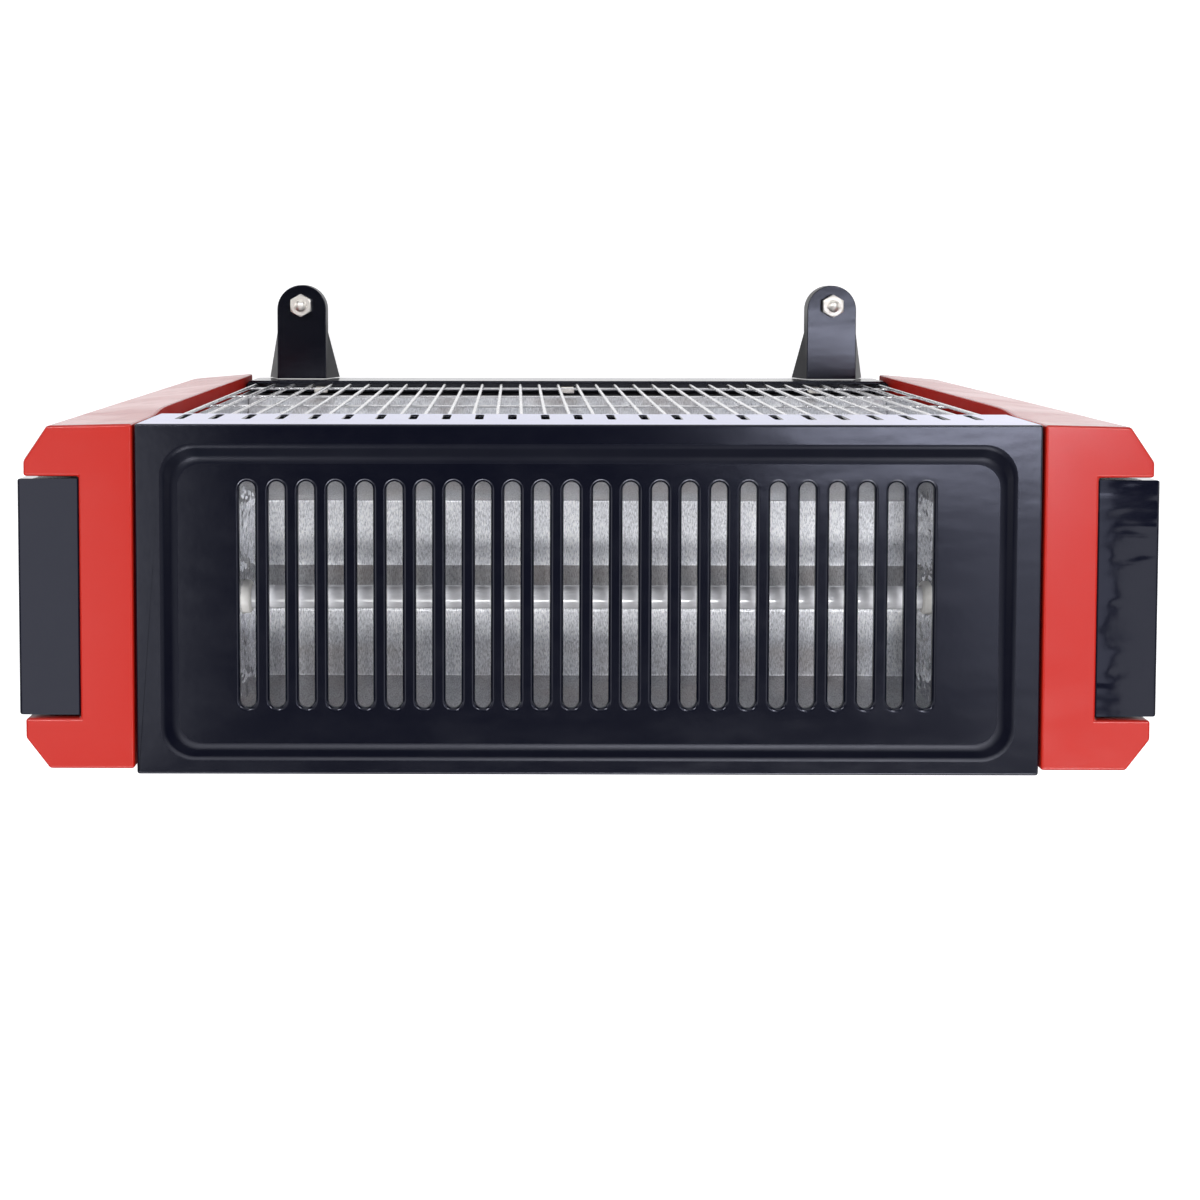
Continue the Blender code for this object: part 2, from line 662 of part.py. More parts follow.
def cap_cavity_outline():
    inner = CAP_INNER + CAP_WALL
    floor = GRIP_INNER - SEAM - CAP_WALL
    outer = CAP_OUTER - CAP_WALL
    shoulder = CAP_OUTER - CAP_CHAMFER_WIDTH - 0.5 * CAP_WALL
    front = FRONT + CAP_FRONT_SETBACK + CAP_WALL
    rear = CAP_REAR_Y - CAP_WALL
    notch_front = GRIP_FRONT_Y - GRIP_NOTCH_GAP - CAP_WALL
    notch_rear = GRIP_REAR_Y + GRIP_NOTCH_GAP + CAP_WALL
    return (
        (inner, front),
        (shoulder - 0.5 * CAP_WALL, front),
        (outer, notch_front - 0.2 * CAP_WALL),
        (outer, notch_front),
        (floor, notch_front),
        (floor, notch_rear),
        (outer, notch_rear),
        (outer, notch_rear + 0.2 * CAP_WALL),
        (shoulder - 0.5 * CAP_WALL, rear),
        (inner, rear),
    )


def mirrored(bm, sign):
    if sign < 0:
        for vert in bm.verts:
            vert.co.x = -vert.co.x


def make_side_cap(parent, side, sign):
    top = MARGIN_TOP - SEAM
    bottom = GROUND_CLEARANCE
    raised = FRONT - CAP_FRONT_RISE
    ramp_top = top - CAP_RAMP_TOP
    bm = bmesh.new()
    levels = (
        cap_section(bottom, FRONT + CAP_FOOT_SETBACK, CAP_BOTTOM_ROUND),
        cap_section(bottom + 0.4 * CAP_BOTTOM_ROUND, raised, 0.25 * CAP_BOTTOM_ROUND),
        cap_section(bottom + 1.2 * CAP_BOTTOM_ROUND, raised),
        cap_section(ramp_top - CAP_RAMP_LENGTH, raised),
        cap_section(ramp_top - 0.5 * CAP_RAMP_LENGTH, FRONT - 0.7 * CAP_FRONT_RISE),
        cap_section(ramp_top, FRONT),
        cap_section(top, FRONT),
    )
    add_loft(bm, levels)
    mirrored(bm, sign)
    cap = add_object(f"side_cap_{side}", bm, "red_plastic", parent)
    bevel(cap, CAP_EDGE, 2, 25)

    bm = bmesh.new()
    low = (GRIP_INNER - SEAM, GRIP_FRONT_Y - GRIP_NOTCH_GAP, bottom - CUT_PAST)
    box(bm, low, (CAP_OUTER + CUT_PAST, GRIP_REAR_Y + GRIP_NOTCH_GAP, top + CUT_PAST))
    mirrored(bm, sign)
    boolean(cap, helper(f"grip_notch_{side}", bm), "DIFFERENCE")

    bm = bmesh.new()
    prism(bm, cap_cavity_outline(), "Z", bottom + 2 * CAP_WALL, top - CAP_WALL)
    mirrored(bm, sign)
    boolean(cap, helper(f"cap_cavity_{side}", bm), "DIFFERENCE")

    bm = bmesh.new()
    margin = CAP_OPENING_MARGIN
    low = (CAP_INNER - CUT_PAST, FRONT + margin, bottom + margin)
    box(bm, low, (CAP_INNER + CAP_WALL + CUT_PAST, CAP_REAR_Y - margin, top - margin))
    mirrored(bm, sign)
    boolean(cap, helper(f"cap_opening_{side}", bm), "DIFFERENCE")
    return cap


def switch_heights():
    return [TOP - SWITCH_FIRST_DROP - i * SWITCH_PITCH for i in range(SWITCH_COUNT)]


def grip_core_outline(side, bottom, top):
    """Outline of the space inside a grip strip, stepped in behind the finger pocket and the switch bay."""
    steps = [(TOP - POCKET_DROP, POCKET_HEIGHT, POCKET_DEPTH)]
    if side == "right":
        bay_height, _, bay_depth = SWITCH_BAY
        steps.append((sum(switch_heights()) / SWITCH_COUNT, bay_height, bay_depth))
    face = GRIP_OUTER - GRIP_WALL
    outline = [(GRIP_INNER - GRIP_WALL, top - GRIP_WALL), (face, top - GRIP_WALL)]
    for middle, height, depth in steps:
        reach = height / 2 + GRIP_WALL
        outline += [(face, middle + reach), (face - depth, middle + reach)]
        outline += [(face - depth, middle - reach), (face, middle - reach)]
    return outline + [(face, bottom + GRIP_WALL), (GRIP_INNER - GRIP_WALL, bottom + GRIP_WALL)]


def make_grip(parent, side, sign):
    top = MARGIN_TOP - SEAM - GRIP_END_GAP
    bottom = GROUND_CLEARANCE + GRIP_END_GAP
    bm = bmesh.new()
    box(bm, (GRIP_INNER, GRIP_FRONT_Y, bottom), (GRIP_OUTER, GRIP_REAR_Y, top))
    mirrored(bm, sign)
    grip = add_object(f"grip_{side}", bm, "black_plastic", parent)
    bevel(grip, GRIP_EDGE, 2)

    middle = (GRIP_FRONT_Y + GRIP_REAR_Y) / 2
    pocket_z = TOP - POCKET_DROP
    bm = bmesh.new()
    low = (middle - POCKET_WIDTH / 2, pocket_z - POCKET_HEIGHT / 2)
    high = (middle + POCKET_WIDTH / 2, pocket_z + POCKET_HEIGHT / 2)
    outline = rounded_rect(low, high, POCKET_RADIUS, 4)
    prism(bm, outline, "X", GRIP_OUTER - POCKET_DEPTH, GRIP_OUTER + CUT_PAST)
    mirrored(bm, sign)
    boolean(grip, helper(f"finger_pocket_{side}", bm), "DIFFERENCE")

    bm = bmesh.new()
    prism(bm, grip_core_outline(side, bottom, top), "Y", GRIP_FRONT_Y + GRIP_WALL, GRIP_REAR_Y - GRIP_WALL)
    mirrored(bm, sign)
    boolean(grip, helper(f"grip_core_{side}", bm), "DIFFERENCE")

    if side == "right":
        bay_z, bay_y, bay_depth = SWITCH_BAY
        centre_z = sum(switch_heights()) / SWITCH_COUNT
        low = (middle - bay_y / 2, centre_z - bay_z / 2)
        high = (middle + bay_y / 2, centre_z + bay_z / 2)
        outline = rounded_rect(low, high, SWITCH_BAY_RADIUS, 3)
        bm = bmesh.new()
        prism(bm, outline, "X", GRIP_OUTER - bay_depth, GRIP_OUTER + CUT_PAST)
        mirrored(bm, sign)
        boolean(grip, helper("switch_bay", bm), "DIFFERENCE")
        bm = bmesh.new()
        for z in switch_heights():
            half_z = SWITCH_BODY[0] / 2 + SWITCH_CUT_GAP
            half_y = SWITCH_BODY[1] / 2 + SWITCH_CUT_GAP
            low = (GRIP_INNER - CUT_PAST, middle - half_y, z - half_z)
            box(bm, low, (GRIP_OUTER + CUT_PAST, middle + half_y, z + half_z))
        mirrored(bm, sign)
        boolean(grip, helper("switch_cutter", bm), "DIFFERENCE")
    return grip


def make_wire_guard(parent):
    top = WINDOW_TOP + GUARD_HIDDEN_TOP
    bm = bmesh.new()
    for x in row(GUARD_WIRES, GUARD_PITCH):
        path = (
            (x, GUARD_Y + GUARD_FOOT_BACK, GUARD_BOTTOM),
            (x, GUARD_Y, GUARD_BOTTOM + 0.6 * GUARD_FOOT),
            (x, GUARD_Y, top),
        )
        swept(bm, path, GUARD_WIRE / 2, WIRE_SIDES)
    guard = add_object("wire_guard", bm, "guard_chrome", parent, smooth=60)

    half = HALF_WIDTH - SHEET - SEAM
    bm = bmesh.new()
    heights = [GUARD_FIRST_CROSS + i * GUARD_CROSS_PITCH for i in range(GUARD_CROSS_COUNT)]
    for z in heights:
        swept(bm, ((-half, GUARD_CROSS_Y, z), (half, GUARD_CROSS_Y, z)), GUARD_CROSS_WIRE / 2, WIRE_SIDES)
    boolean(guard, helper("guard_cross_wires", bm), "UNION")
    return guard


def make_guard_clips(parent):
    """Sheet hooks that hold the guard's lowest cross wire behind the bottom apron."""
    wire_back = GUARD_CROSS_Y + GUARD_CROSS_WIRE / 2 + SEAM
    wire_top = GUARD_FIRST_CROSS + GUARD_CROSS_WIRE / 2 + SEAM
    wire_low = GUARD_FIRST_CROSS - GUARD_CROSS_WIRE / 2 - 3 * SEAM
    seat = FRONT + SHEET + HEM_THICKNESS + SEAM
    foot = GUARD_FIRST_CROSS - CLIP_DROP
    t = CLIP_SHEET
    front = GUARD_CROSS_Y - 0.3 * GUARD_CROSS_WIRE
    outline = (
        (seat, foot),
        (seat + t, foot),
        (seat + t, wire_low - t),
        (wire_back + t, wire_low),
        (wire_back + t, wire_top + t),
        (front, wire_top + t),
        (front, wire_top),
        (wire_back, wire_top),
        (wire_back, wire_low),
        (seat, wire_low - t),
    )
    made = []
    last_gap = GUARD_WIRES - 2
    gaps = (CLIP_EDGE_GAPS, last_gap // 2, last_gap - CLIP_EDGE_GAPS)
    for number, gap in enumerate(gaps, start=1):
        bm = bmesh.new()
        prism(bm, outline, "X", -CLIP_WIDTH / 2, CLIP_WIDTH / 2)
        x = (gap - last_gap / 2) * GUARD_PITCH
        made.append(add_object(f"guard_clip_{number}", bm, "nickel", parent, (x, 0.0, 0.0)))
    return made


def sheet_outline(points, thickness):
    """Closed outline of bent sheet from its face line, with the back set off to the right of travel."""
    back = []
    count = len(points)
    for i, (y, z) in enumerate(points):
        normals = []
        for j in (i - 1, i):
            if 0 <= j < count - 1:
                dy = points[j + 1][0] - points[j][0]
                dz = points[j + 1][1] - points[j][1]
                length = math.hypot(dy, dz)
                normals.append((dz / length, -dy / length))
        ny = sum(n[0] for n in normals) / len(normals)
        nz = sum(n[1] for n in normals) / len(normals)
        scale = thickness / (ny * ny + nz * nz)
        back.append((y + ny * scale, z + nz * scale))
    return list(points) + back[::-1]


def make_front_reflector(parent):
    """Two troughs folded from one sheet, one behind each front tube."""
    points = [(FRONT_TROUGH_LIP_Y, GROUND_CLEARANCE + FRONT_TROUGH_RISE)]
    middles = [TUBES[name][1] for name in ("lower", "upper")]
    for z in middles:
        shoulder = FRONT_TROUGH_HALF_FLAT + FRONT_TROUGH_SHOULDER
        points += [
            (FRONT_TROUGH_SHOULDER_Y, z - shoulder),
            (FRONT_TROUGH_Y, z - FRONT_TROUGH_HALF_FLAT),
            (FRONT_TROUGH_Y, z + FRONT_TROUGH_HALF_FLAT),
            (FRONT_TROUGH_SHOULDER_Y, z + shoulder),
        ]
        if z == middles[0]:
            points.append((FRONT_TROUGH_RIDGE_Y, sum(middles) / 2))
    points.append((FRONT_TROUGH_LIP_Y, WINDOW_TOP))
    half = END_PLATE_INNER - SEAM
    bm = bmesh.new()
    prism(bm, sheet_outline(points, SHEET), "X", -half, half)
    return add_object("front_reflector", bm, "galvanised", parent)


def make_top_reflector(parent):
    """Open trough behind the top tube, hung from the underside of the panel by its two lips."""
    rim = PANEL_UNDERSIDE - SEAM
    points = (
        (TOP_TROUGH_RIM_FRONT - TOP_TROUGH_LIP, rim),
        (TOP_TROUGH_RIM_FRONT, rim),
        (TOP_TROUGH_FRONT, TOP_TROUGH_Z),
        (TOP_TROUGH_REAR, TOP_TROUGH_Z),
        (TOP_TROUGH_RIM_REAR, rim),
        (TOP_TROUGH_RIM_REAR + TOP_TROUGH_LIP, rim),
    )
    half = TOP_WALL_X - SEAM
    bm = bmesh.new()
    prism(bm, sheet_outline(points, SHEET), "X", -half, half)
    return add_object("top_reflector", bm, "galvanised", parent)


def make_top_wall(parent, side, sign):
    """End wall of the top trough, with a tab turned out under the panel. It carries the tube's end."""
    rim = PANEL_UNDERSIDE - SEAM
    low = TOP_TROUGH_Z - TOP_WALL_MARGIN
    front = TOP_TROUGH_RIM_FRONT - TOP_WALL_MARGIN
    rear = TOP_TROUGH_RIM_REAR + TOP_WALL_MARGIN
    outline = (
        (front, rim),
        (TOP_TROUGH_FRONT - TOP_WALL_MARGIN, low),
        (TOP_TROUGH_REAR + TOP_WALL_MARGIN, low),
        (rear, rim),
    )
    bm = bmesh.new()
    prism(bm, outline, "X", TOP_WALL_X, TOP_WALL_X + SHEET)
    mirrored(bm, sign)
    wall = add_object(f"top_wall_{side}", bm, "galvanised", parent)
    bm = bmesh.new()
    low = (TOP_WALL_X + 0.5 * SHEET, SLOT_MIDDLE_Y - 0.25 * SLOT_LENGTH, rim - SHEET)
    high = (TOP_WALL_X + TOP_WALL_TAB, SLOT_MIDDLE_Y + 0.25 * SLOT_LENGTH, rim)
    box(bm, low, high)
    mirrored(bm, sign)
    boolean(wall, helper(f"wall_tab_{side}", bm), "UNION")
    y, z = TUBES["top"][:2]
    bm = bmesh.new()
    radius = CERAMIC_DIAMETER / 2 + SEAM
    prism(bm, arc((y, z), radius, 0, 337.5, 15), "X", TOP_WALL_X - CUT_PAST, TOP_WALL_X + CUT_PAST)
    mirrored(bm, sign)
    boolean(wall, helper(f"wall_hole_{side}", bm), "DIFFERENCE")
    return wall


def make_end_plate(parent, side, sign):
    """Side plate that closes the body and carries the front tubes, with a return behind the rear cover."""
    rear = REAR_COVER_Y - SHEET - SEAM
    outline = (
        (END_PLATE_INNER, FRONT + END_PLATE_FRONT_MARGIN),
        (END_PLATE_OUTER, FRONT + END_PLATE_FRONT_MARGIN),
        (END_PLATE_OUTER, rear),
        (END_PLATE_OUTER - END_PLATE_RETURN, rear),
        (END_PLATE_OUTER - END_PLATE_RETURN, rear - SHEET),
        (END_PLATE_INNER, rear - SHEET),
    )
    bm = bmesh.new()
    prism(bm, outline, "Z", INSIDE_BOTTOM, INSIDE_TOP)
    mirrored(bm, sign)
    plate = add_object(f"end_plate_{side}", bm, "galvanised", parent)
    bm = bmesh.new()
    radius = CERAMIC_DIAMETER / 2 + SEAM
    for name in ("upper", "lower"):
        y, z = TUBES[name][:2]
        outline = arc((y, z), radius, 0, 337.5, 15)
        prism(bm, outline, "X", END_PLATE_INNER - CUT_PAST, END_PLATE_OUTER + CUT_PAST)
    mirrored(bm, sign)
    boolean(plate, helper(f"tube_holes_{side}", bm), "DIFFERENCE")
    return plate


def make_tubes(parent):
    """Quartz tubes, each with a ceramic cap at both ends and a coil inside."""
    outer = TUBE_DIAMETER / 2
    bore = outer - TUBE_WALL
    socket = outer + SEAM
    ceramic = CERAMIC_DIAMETER / 2
    shoulder = CERAMIC_SHOULDER_DIAMETER / 2
    terminal = TERMINAL_DIAMETER / 2
    for name, (y, z, half, seat) in TUBES.items():
        unit = group(f"{name}_element", (0.0, y, z), parent)
        end = half + TUBE_IN_CAP
        bm = bmesh.new()
        turned(bm, ((outer, -end), (outer, end), (bore, end), (bore, -end)), 16, "X")
        add_object(f"quartz_tube_{name}", bm, "quartz", unit)
        for side, sign in (("left", 1), ("right", -1)):
            bm = bmesh.new()
            profile = (
                (ceramic, half),
                (ceramic, seat),
                (shoulder, seat),
                (shoulder, seat + CERAMIC_SHOULDER),
                (ceramic, seat + CERAMIC_SHOULDER),
                (ceramic, half + CERAMIC_LENGTH),
                (terminal + SEAM, half + CERAMIC_LENGTH),
                (terminal + SEAM, end + SEAM),
                (socket, end + SEAM),
                (socket, half),
            )
            turned(bm, [(r, sign * h) for r, h in profile], CERAMIC_STEPS, "X")
            add_object(f"ceramic_cap_{name}_{side}", bm, "ceramic", unit)
        reach = half + CERAMIC_LENGTH + TERMINAL_LENGTH
        radius = COIL_DIAMETER / 2
        steps = COIL_TURNS * COIL_POINTS
        coil_half = half - COIL_END_GAP
        lead = half + COIL_LEAD_GAP
        path = [(-reach, 0.0, 0.0), (-lead, 0.0, 0.0)]
        for i in range(steps + 1):
            a = 2 * math.pi * i / COIL_POINTS
            x = -coil_half + 2 * coil_half * i / steps
            path.append((x, radius * math.cos(a), radius * math.sin(a)))
        path += [(lead, 0.0, 0.0), (reach, 0.0, 0.0)]
        bm = bmesh.new()
        swept(bm, path, COIL_WIRE / 2, 3)
        add_object(f"heating_coil_{name}", bm, "coil_alloy", unit)


def make_leg(parent, name, x, sign):
    """A pressed channel bracket: flat top, round nose and side walls that splay towards the body."""
    half = LEG_WIDTH / 2
    base = LEG_BASE_WIDTH / 2
    straight = LEG_REACH - half
    flare_y = -straight * LEG_FLARE_START

    def skin(level, inset, top):
        """One level of the shell, from the plate's top (0) to the foot of the walls (1)."""
        points = [(half, 0.0), (half, 0.5 * flare_y), (half, flare_y)]
        points += [(half * math.cos(a), -straight + half * math.sin(a)) for a in nose_angles]
        points += [(-half, flare_y), (-half, 0.5 * flare_y), (-half, 0.0)]
        loop = []
        for px, py in points:
            along = max(0.0, 1.0 - py / flare_y) if py > flare_y else 0.0
            wall = LEG_WALL_NOSE + (LEG_WALL_BASE - LEG_WALL_NOSE) * along
            spread = (base - half) * along * level
            direction = Vector((px, min(0.0, py + straight)))
            if direction.length > 0:
                direction.normalize()
            shift = direction * (spread - inset)
            if py > -straight:
                shift = Vector((math.copysign(spread - inset, px), -inset if py == 0.0 else 0.0))
            z = LEG_TOP - top - (wall - top) * level
            loop.append(Vector((px + shift.x, py + shift.y, z)))
        return loop

    nose_angles = [-math.pi * i / LEG_NOSE_STEPS for i in range(LEG_NOSE_STEPS + 1)]
    bm = bmesh.new()
    loops = [
        skin(0.0, LEG_EDGE, 0.0),
        skin(0.0, 0.0, LEG_EDGE),
        skin(1.0, 0.0, LEG_EDGE),
        skin(1.0, LEG_SHEET, LEG_EDGE),
        skin(0.0, LEG_SHEET, LEG_SHEET),
    ]
    add_loft(bm, loops)
    turn = 0.0 if sign > 0 else math.pi
    place = (x, sign * (FRONT - SEAM), 0.0)
    leg = add_object(name, bm, "black_enamel", parent, place)
    leg.rotation_euler.z = turn

    bm = bmesh.new()
    outline = arc((0.0, -(LEG_REACH - NOSE_HOLE_FROM_TIP)), LEG_HOLE / 2, 0, 330, 11)
    prism(bm, outline, "Z", LEG_TOP - CUT_PAST, LEG_TOP + CUT_PAST)
    cutter = helper(f"{name}_hole", bm)
    cutter.location = place
    cutter.rotation_euler.z = turn
    boolean(leg, cutter, "DIFFERENCE")
    return leg


def make_foot_set(parent, name, x, y):
    """Rubber foot with a bonded stud through the leg, and the nut on top."""
    unit = group(f"{name}_set", (x, y, 0.0), parent)
    under_plate = LEG_TOP - LEG_SHEET - SEAM
    top = FOOT_TOP_DIAMETER / 2
    low = FOOT_DIAMETER / 2
    stud = STUD_DIAMETER / 2
    well = stud + SEAM
    well_floor = under_plate - STUD_IN_FOOT
    bm = bmesh.new()
    profile = (
        (0.0, 0.0),
        (low - FOOT_EDGE, 0.0),
        (low, FOOT_EDGE),
        (top, under_plate - FOOT_COLLAR),
        (top, under_plate),
        (well, under_plate),
        (well, well_floor),
        (0.0, well_floor),
    )
    turned(bm, profile, 12)
    add_object(f"foot_{name}", bm, "rubber", unit)

    nut_low = LEG_TOP + SEAM
    nut_high = nut_low + NUT_HEIGHT
    end = nut_high + STUD_OVER_NUT
    bm = bmesh.new()
    profile = (
        (0.0, well_floor + SEAM),
        (stud, well_floor + SEAM),
        (stud, end - STUD_POINT),
        (0.75 * stud, end - 0.3 * STUD_POINT),
        (0.0, end),
    )
    turned(bm, profile, 12)
    add_object(f"stud_{name}", bm, "nickel", unit)

    corner = NUT_FLATS / 2 / math.cos(math.radians(30))
    loops = []
    for radius, height, hexagon in (
        (corner, nut_low, True),
        (corner, nut_high - NUT_CHAMFER, True),
        (NUT_FLATS / 2, nut_high, False),
        (stud + SEAM, nut_high, False),
        (stud + SEAM, nut_low, False),
    ):
        loop = []
        for i in range(12):
            a = math.radians(30 * i)
            reach = radius
            if hexagon and i % 2:
                reach = radius * math.cos(math.radians(30))
            loop.append(Vector((reach * math.cos(a), reach * math.sin(a), height)))
        loops.append(loop)
    bm = bmesh.new()
    add_loft(bm, loops, cyclic=True)
    add_object(f"nut_{name}", bm, "nickel", unit, smooth=25)


def make_switch(parent, number, z):
    """A rocker switch on the floor of the bay in the grip strip. The rocker turns on two side pins."""
    middle = (GRIP_FRONT_Y + GRIP_REAR_Y) / 2
    unit = group(f"switch_{number}", (SWITCH_BAY[2] - GRIP_OUTER, middle, z), parent)
    unit.rotation_euler.z = math.pi
    bezel_z, bezel_y, bezel_rise = SWITCH_BEZEL
    body_z, body_y, body_depth = SWITCH_BODY
    window_z, window_y = SWITCH_WINDOW
    bm = bmesh.new()
    rings = (
        (body_z, body_y, -body_depth),
        (body_z, body_y, SEAM),
        (bezel_z, bezel_y, SEAM),
        (bezel_z, bezel_y, bezel_rise - SWITCH_BEZEL_EDGE),
        (bezel_z - 2 * SWITCH_BEZEL_EDGE, bezel_y - 2 * SWITCH_BEZEL_EDGE, bezel_rise),
        (window_z, window_y, bezel_rise),
        (window_z, window_y, bezel_rise - SWITCH_WELL - SWITCH_FLOOR_GAP),
    )
    loops = []
    for size_z, size_y, x in rings:
        corners = ((-1, -1), (1, -1), (1, 1), (-1, 1))
        loops.append([Vector((x, sy * size_y / 2, sz * size_z / 2)) for sy, sz in corners])
    add_loft(bm, loops)
    housing = add_object(f"switch_housing_{number}", bm, "switch_black", unit)

    pivot = Vector((-ROCKER_PIVOT_DEPTH, 0.0, 0.0))
    bm = bmesh.new()
    outline = arc((0.0, 0.0), PIN_DIAMETER / 2 + PIN_CLEARANCE, 0, 315, 7)
    reach = window_y / 2 + PIN_REACH + 2 * PIN_CLEARANCE
    prism(bm, [(pivot.x + px, pz) for px, pz in outline], "Y", -reach, reach)
    cutter = helper(f"pin_cutter_{number}", bm, unit)
    boolean(housing, cutter, "DIFFERENCE")

    face = ROCKER_PIVOT_DEPTH
    outline = (
        (face + ROCKER_TIP, -ROCKER_HALF),
        (face + ROCKER_DIP, 0.0),
        (face + ROCKER_TIP, ROCKER_HALF),
        (face - ROCKER_SIDE, ROCKER_HALF),
        (face - ROCKER_BELLY, 0.4 * ROCKER_HALF),
        (face - ROCKER_BELLY, -0.4 * ROCKER_HALF),
        (face - ROCKER_SIDE, -ROCKER_HALF),
    )
    bm = bmesh.new()
    half = ROCKER_WIDTH / 2
    prism(bm, outline, "Y", -half, half)
    rocker = add_object(f"rocker_{number}", bm, "switch_black", unit, pivot)
    rocker.rotation_euler.y = ROCKER_TILT
    bevel(rocker, ROCKER_EDGE, 1)
    bm = bmesh.new()
    pin_half = window_y / 2 + PIN_REACH
    prism(bm, arc((0.0, 0.0), PIN_DIAMETER / 2, 0, 315, 7), "Y", -pin_half, pin_half)
    pins = helper(f"pins_{number}", bm, unit)
    pins.location = pivot
    pins.rotation_euler.y = ROCKER_TILT
    boolean(rocker, pins, "UNION")


def make_tip_switch(parent):
    """Safety switch on the pan: its plunger rests on the floor and drops when the heater is lifted."""
    floor = GROUND_CLEARANCE + SHEET + SEAM
    bore = PLUNGER_DIAMETER / 2 + PLUNGER_CLEARANCE
    unit = group("tip_switch", (TIP_X, TIP_Y, 0.0), parent)
    bm = bmesh.new()
    half_x, half_y, height = TIP_BODY[0] / 2, TIP_BODY[1] / 2, TIP_BODY[2]
    box(bm, (-half_x, -half_y, floor), (half_x, half_y, floor + height))
    body = add_object("tip_switch_body", bm, "phenolic", unit)
    bm = bmesh.new()
    outline = arc((0.0, 0.0), bore, 0, 330, 11)
    prism(bm, outline, "Z", floor - CUT_PAST, PLUNGER_LENGTH + PLUNGER_HEADROOM)
    boolean(body, helper("plunger_bore", bm, unit), "DIFFERENCE")
    bm = bmesh.new()
    pad = PLUNGER_PAD / 2
    stem = PLUNGER_DIAMETER / 2
    profile = (
        (0.0, 0.0),
        (pad - PLUNGER_EDGE, 0.0),
        (pad, PLUNGER_EDGE),
        (pad, PLUNGER_PAD_HEIGHT),
        (stem, PLUNGER_PAD_HEIGHT),
        (stem, PLUNGER_LENGTH),
        (0.0, PLUNGER_LENGTH),
    )
    turned(bm, profile, 12)
    add_object("tip_plunger", bm, "switch_black", unit)


def make_cord_bush(parent):
    """Ribbed bush in the rear cover where the supply cord enters."""
    out = CORD_BUSH_DIAMETER / 2
    flange = CORD_BUSH_FLANGE / 2
    bore = CORD_BUSH_BORE / 2
    bm = bmesh.new()
    profile = (
        (bore, -CORD_BUSH_INSIDE),
        (out - CORD_BUSH_TAPER, -CORD_BUSH_INSIDE),
        (out, CORD_BUSH_LEAD - CORD_BUSH_INSIDE),
        (out, SEAM),
        (flange, SEAM),
        (flange, CORD_BUSH_FACE),
        (out - CORD_BUSH_TAPER, CORD_BUSH_NECK),
        (out - 2 * CORD_BUSH_TAPER, CORD_BUSH_TAIL),
        (bore, CORD_BUSH_TAIL),
    )
    turned(bm, profile, 12)
    place = (CORD_BUSH_X, REAR_COVER_Y, CORD_BUSH_Z)
    bush = add_object("cord_bush", bm, "rubber", parent, place)
    bush.rotation_euler.x = math.radians(-90)


def make_terminal_block(parent):
    size_x, size_y, size_z = TERMINAL_BLOCK
    start = END_PLATE_OUTER + SEAM
    bm = bmesh.new()
    outline = (
        (start, TERMINAL_BLOCK_Z - size_z / 2),
        (start + size_x, TERMINAL_BLOCK_Z - size_z / 2),
        (start + size_x, TERMINAL_BLOCK_Z + 0.2 * size_z),
        (start + 0.6 * size_x, TERMINAL_BLOCK_Z + size_z / 2),
        (start, TERMINAL_BLOCK_Z + size_z / 2),
    )
    prism(bm, outline, "Y", -size_y / 2, size_y / 2)
    block = add_object("terminal_block", bm, "phenolic", parent)
    bm = bmesh.new()
    for y in row(3, size_y / 3):
        outline = arc((y, TERMINAL_BLOCK_Z - 0.1 * size_z), TERMINAL_HOLE / 2, 0, 315, 7)
        prism(bm, outline, "X", start + 0.5 * size_x, start + size_x + CUT_PAST)
    boolean(block, helper("terminal_holes", bm), "DIFFERENCE")


def make_thermal_cutout(parent):
    start = END_PLATE_OUTER + SEAM
    radius = CUTOUT_DIAMETER / 2
    bm = bmesh.new()
    profile = (
        (0.0, 0.0),
        (radius, 0.0),
        (radius, 0.55 * CUTOUT_HEIGHT),
        (0.8 * radius, 0.55 * CUTOUT_HEIGHT),
        (0.8 * radius, CUTOUT_HEIGHT),
        (0.0, CUTOUT_HEIGHT),
    )
    turned(bm, profile, 16)
    cutout = add_object("thermal_cutout", bm, "phenolic", parent, (-start, 0.0, CUTOUT_Z))
    cutout.rotation_euler.y = math.radians(-90)


def main():
    clear_scene()
    heater = group("quartz_heater")
    shell = group("shell", parent=heater)
    inside = group("inside", parent=heater)
    stand = group("stand", parent=heater)
    make_top_panel(shell)
    make_bottom_pan(shell)
    make_rear_cover(shell)
    for side, sign in (("left", 1), ("right", -1)):
        make_side_cap(shell, side, sign)
        make_grip(shell, side, sign)
        make_end_plate(inside, side, sign)
        make_top_wall(inside, side, sign)
    make_wire_guard(shell)
    make_guard_clips(shell)
    make_front_reflector(inside)
    make_top_reflector(inside)
    make_tubes(inside)
    nose_y = LEG_REACH - NOSE_HOLE_FROM_TIP + SEAM
    for end, facing in (("front", 1), ("rear", -1)):
        for side, x in (("left", LEG_X), ("right", -LEG_X)):
            make_leg(stand, f"leg_{end}_{side}", x, facing)
            make_foot_set(stand, f"{end}_{side}", x, facing * (FRONT - nose_y))
    for number, z in enumerate(switch_heights(), start=1):
        make_switch(shell, number, z)
    make_tip_switch(inside)
    make_cord_bush(shell)
    make_terminal_block(inside)
    make_thermal_cutout(inside)


main()
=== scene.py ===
"""An upright quartz heater: its pieces, their finishes and a plain studio, laid out as an add-on.

Metres, +Z up. The wire guard faces -Y, and the camera looks down on the slotted top.
"""

import math
from contextlib import contextmanager

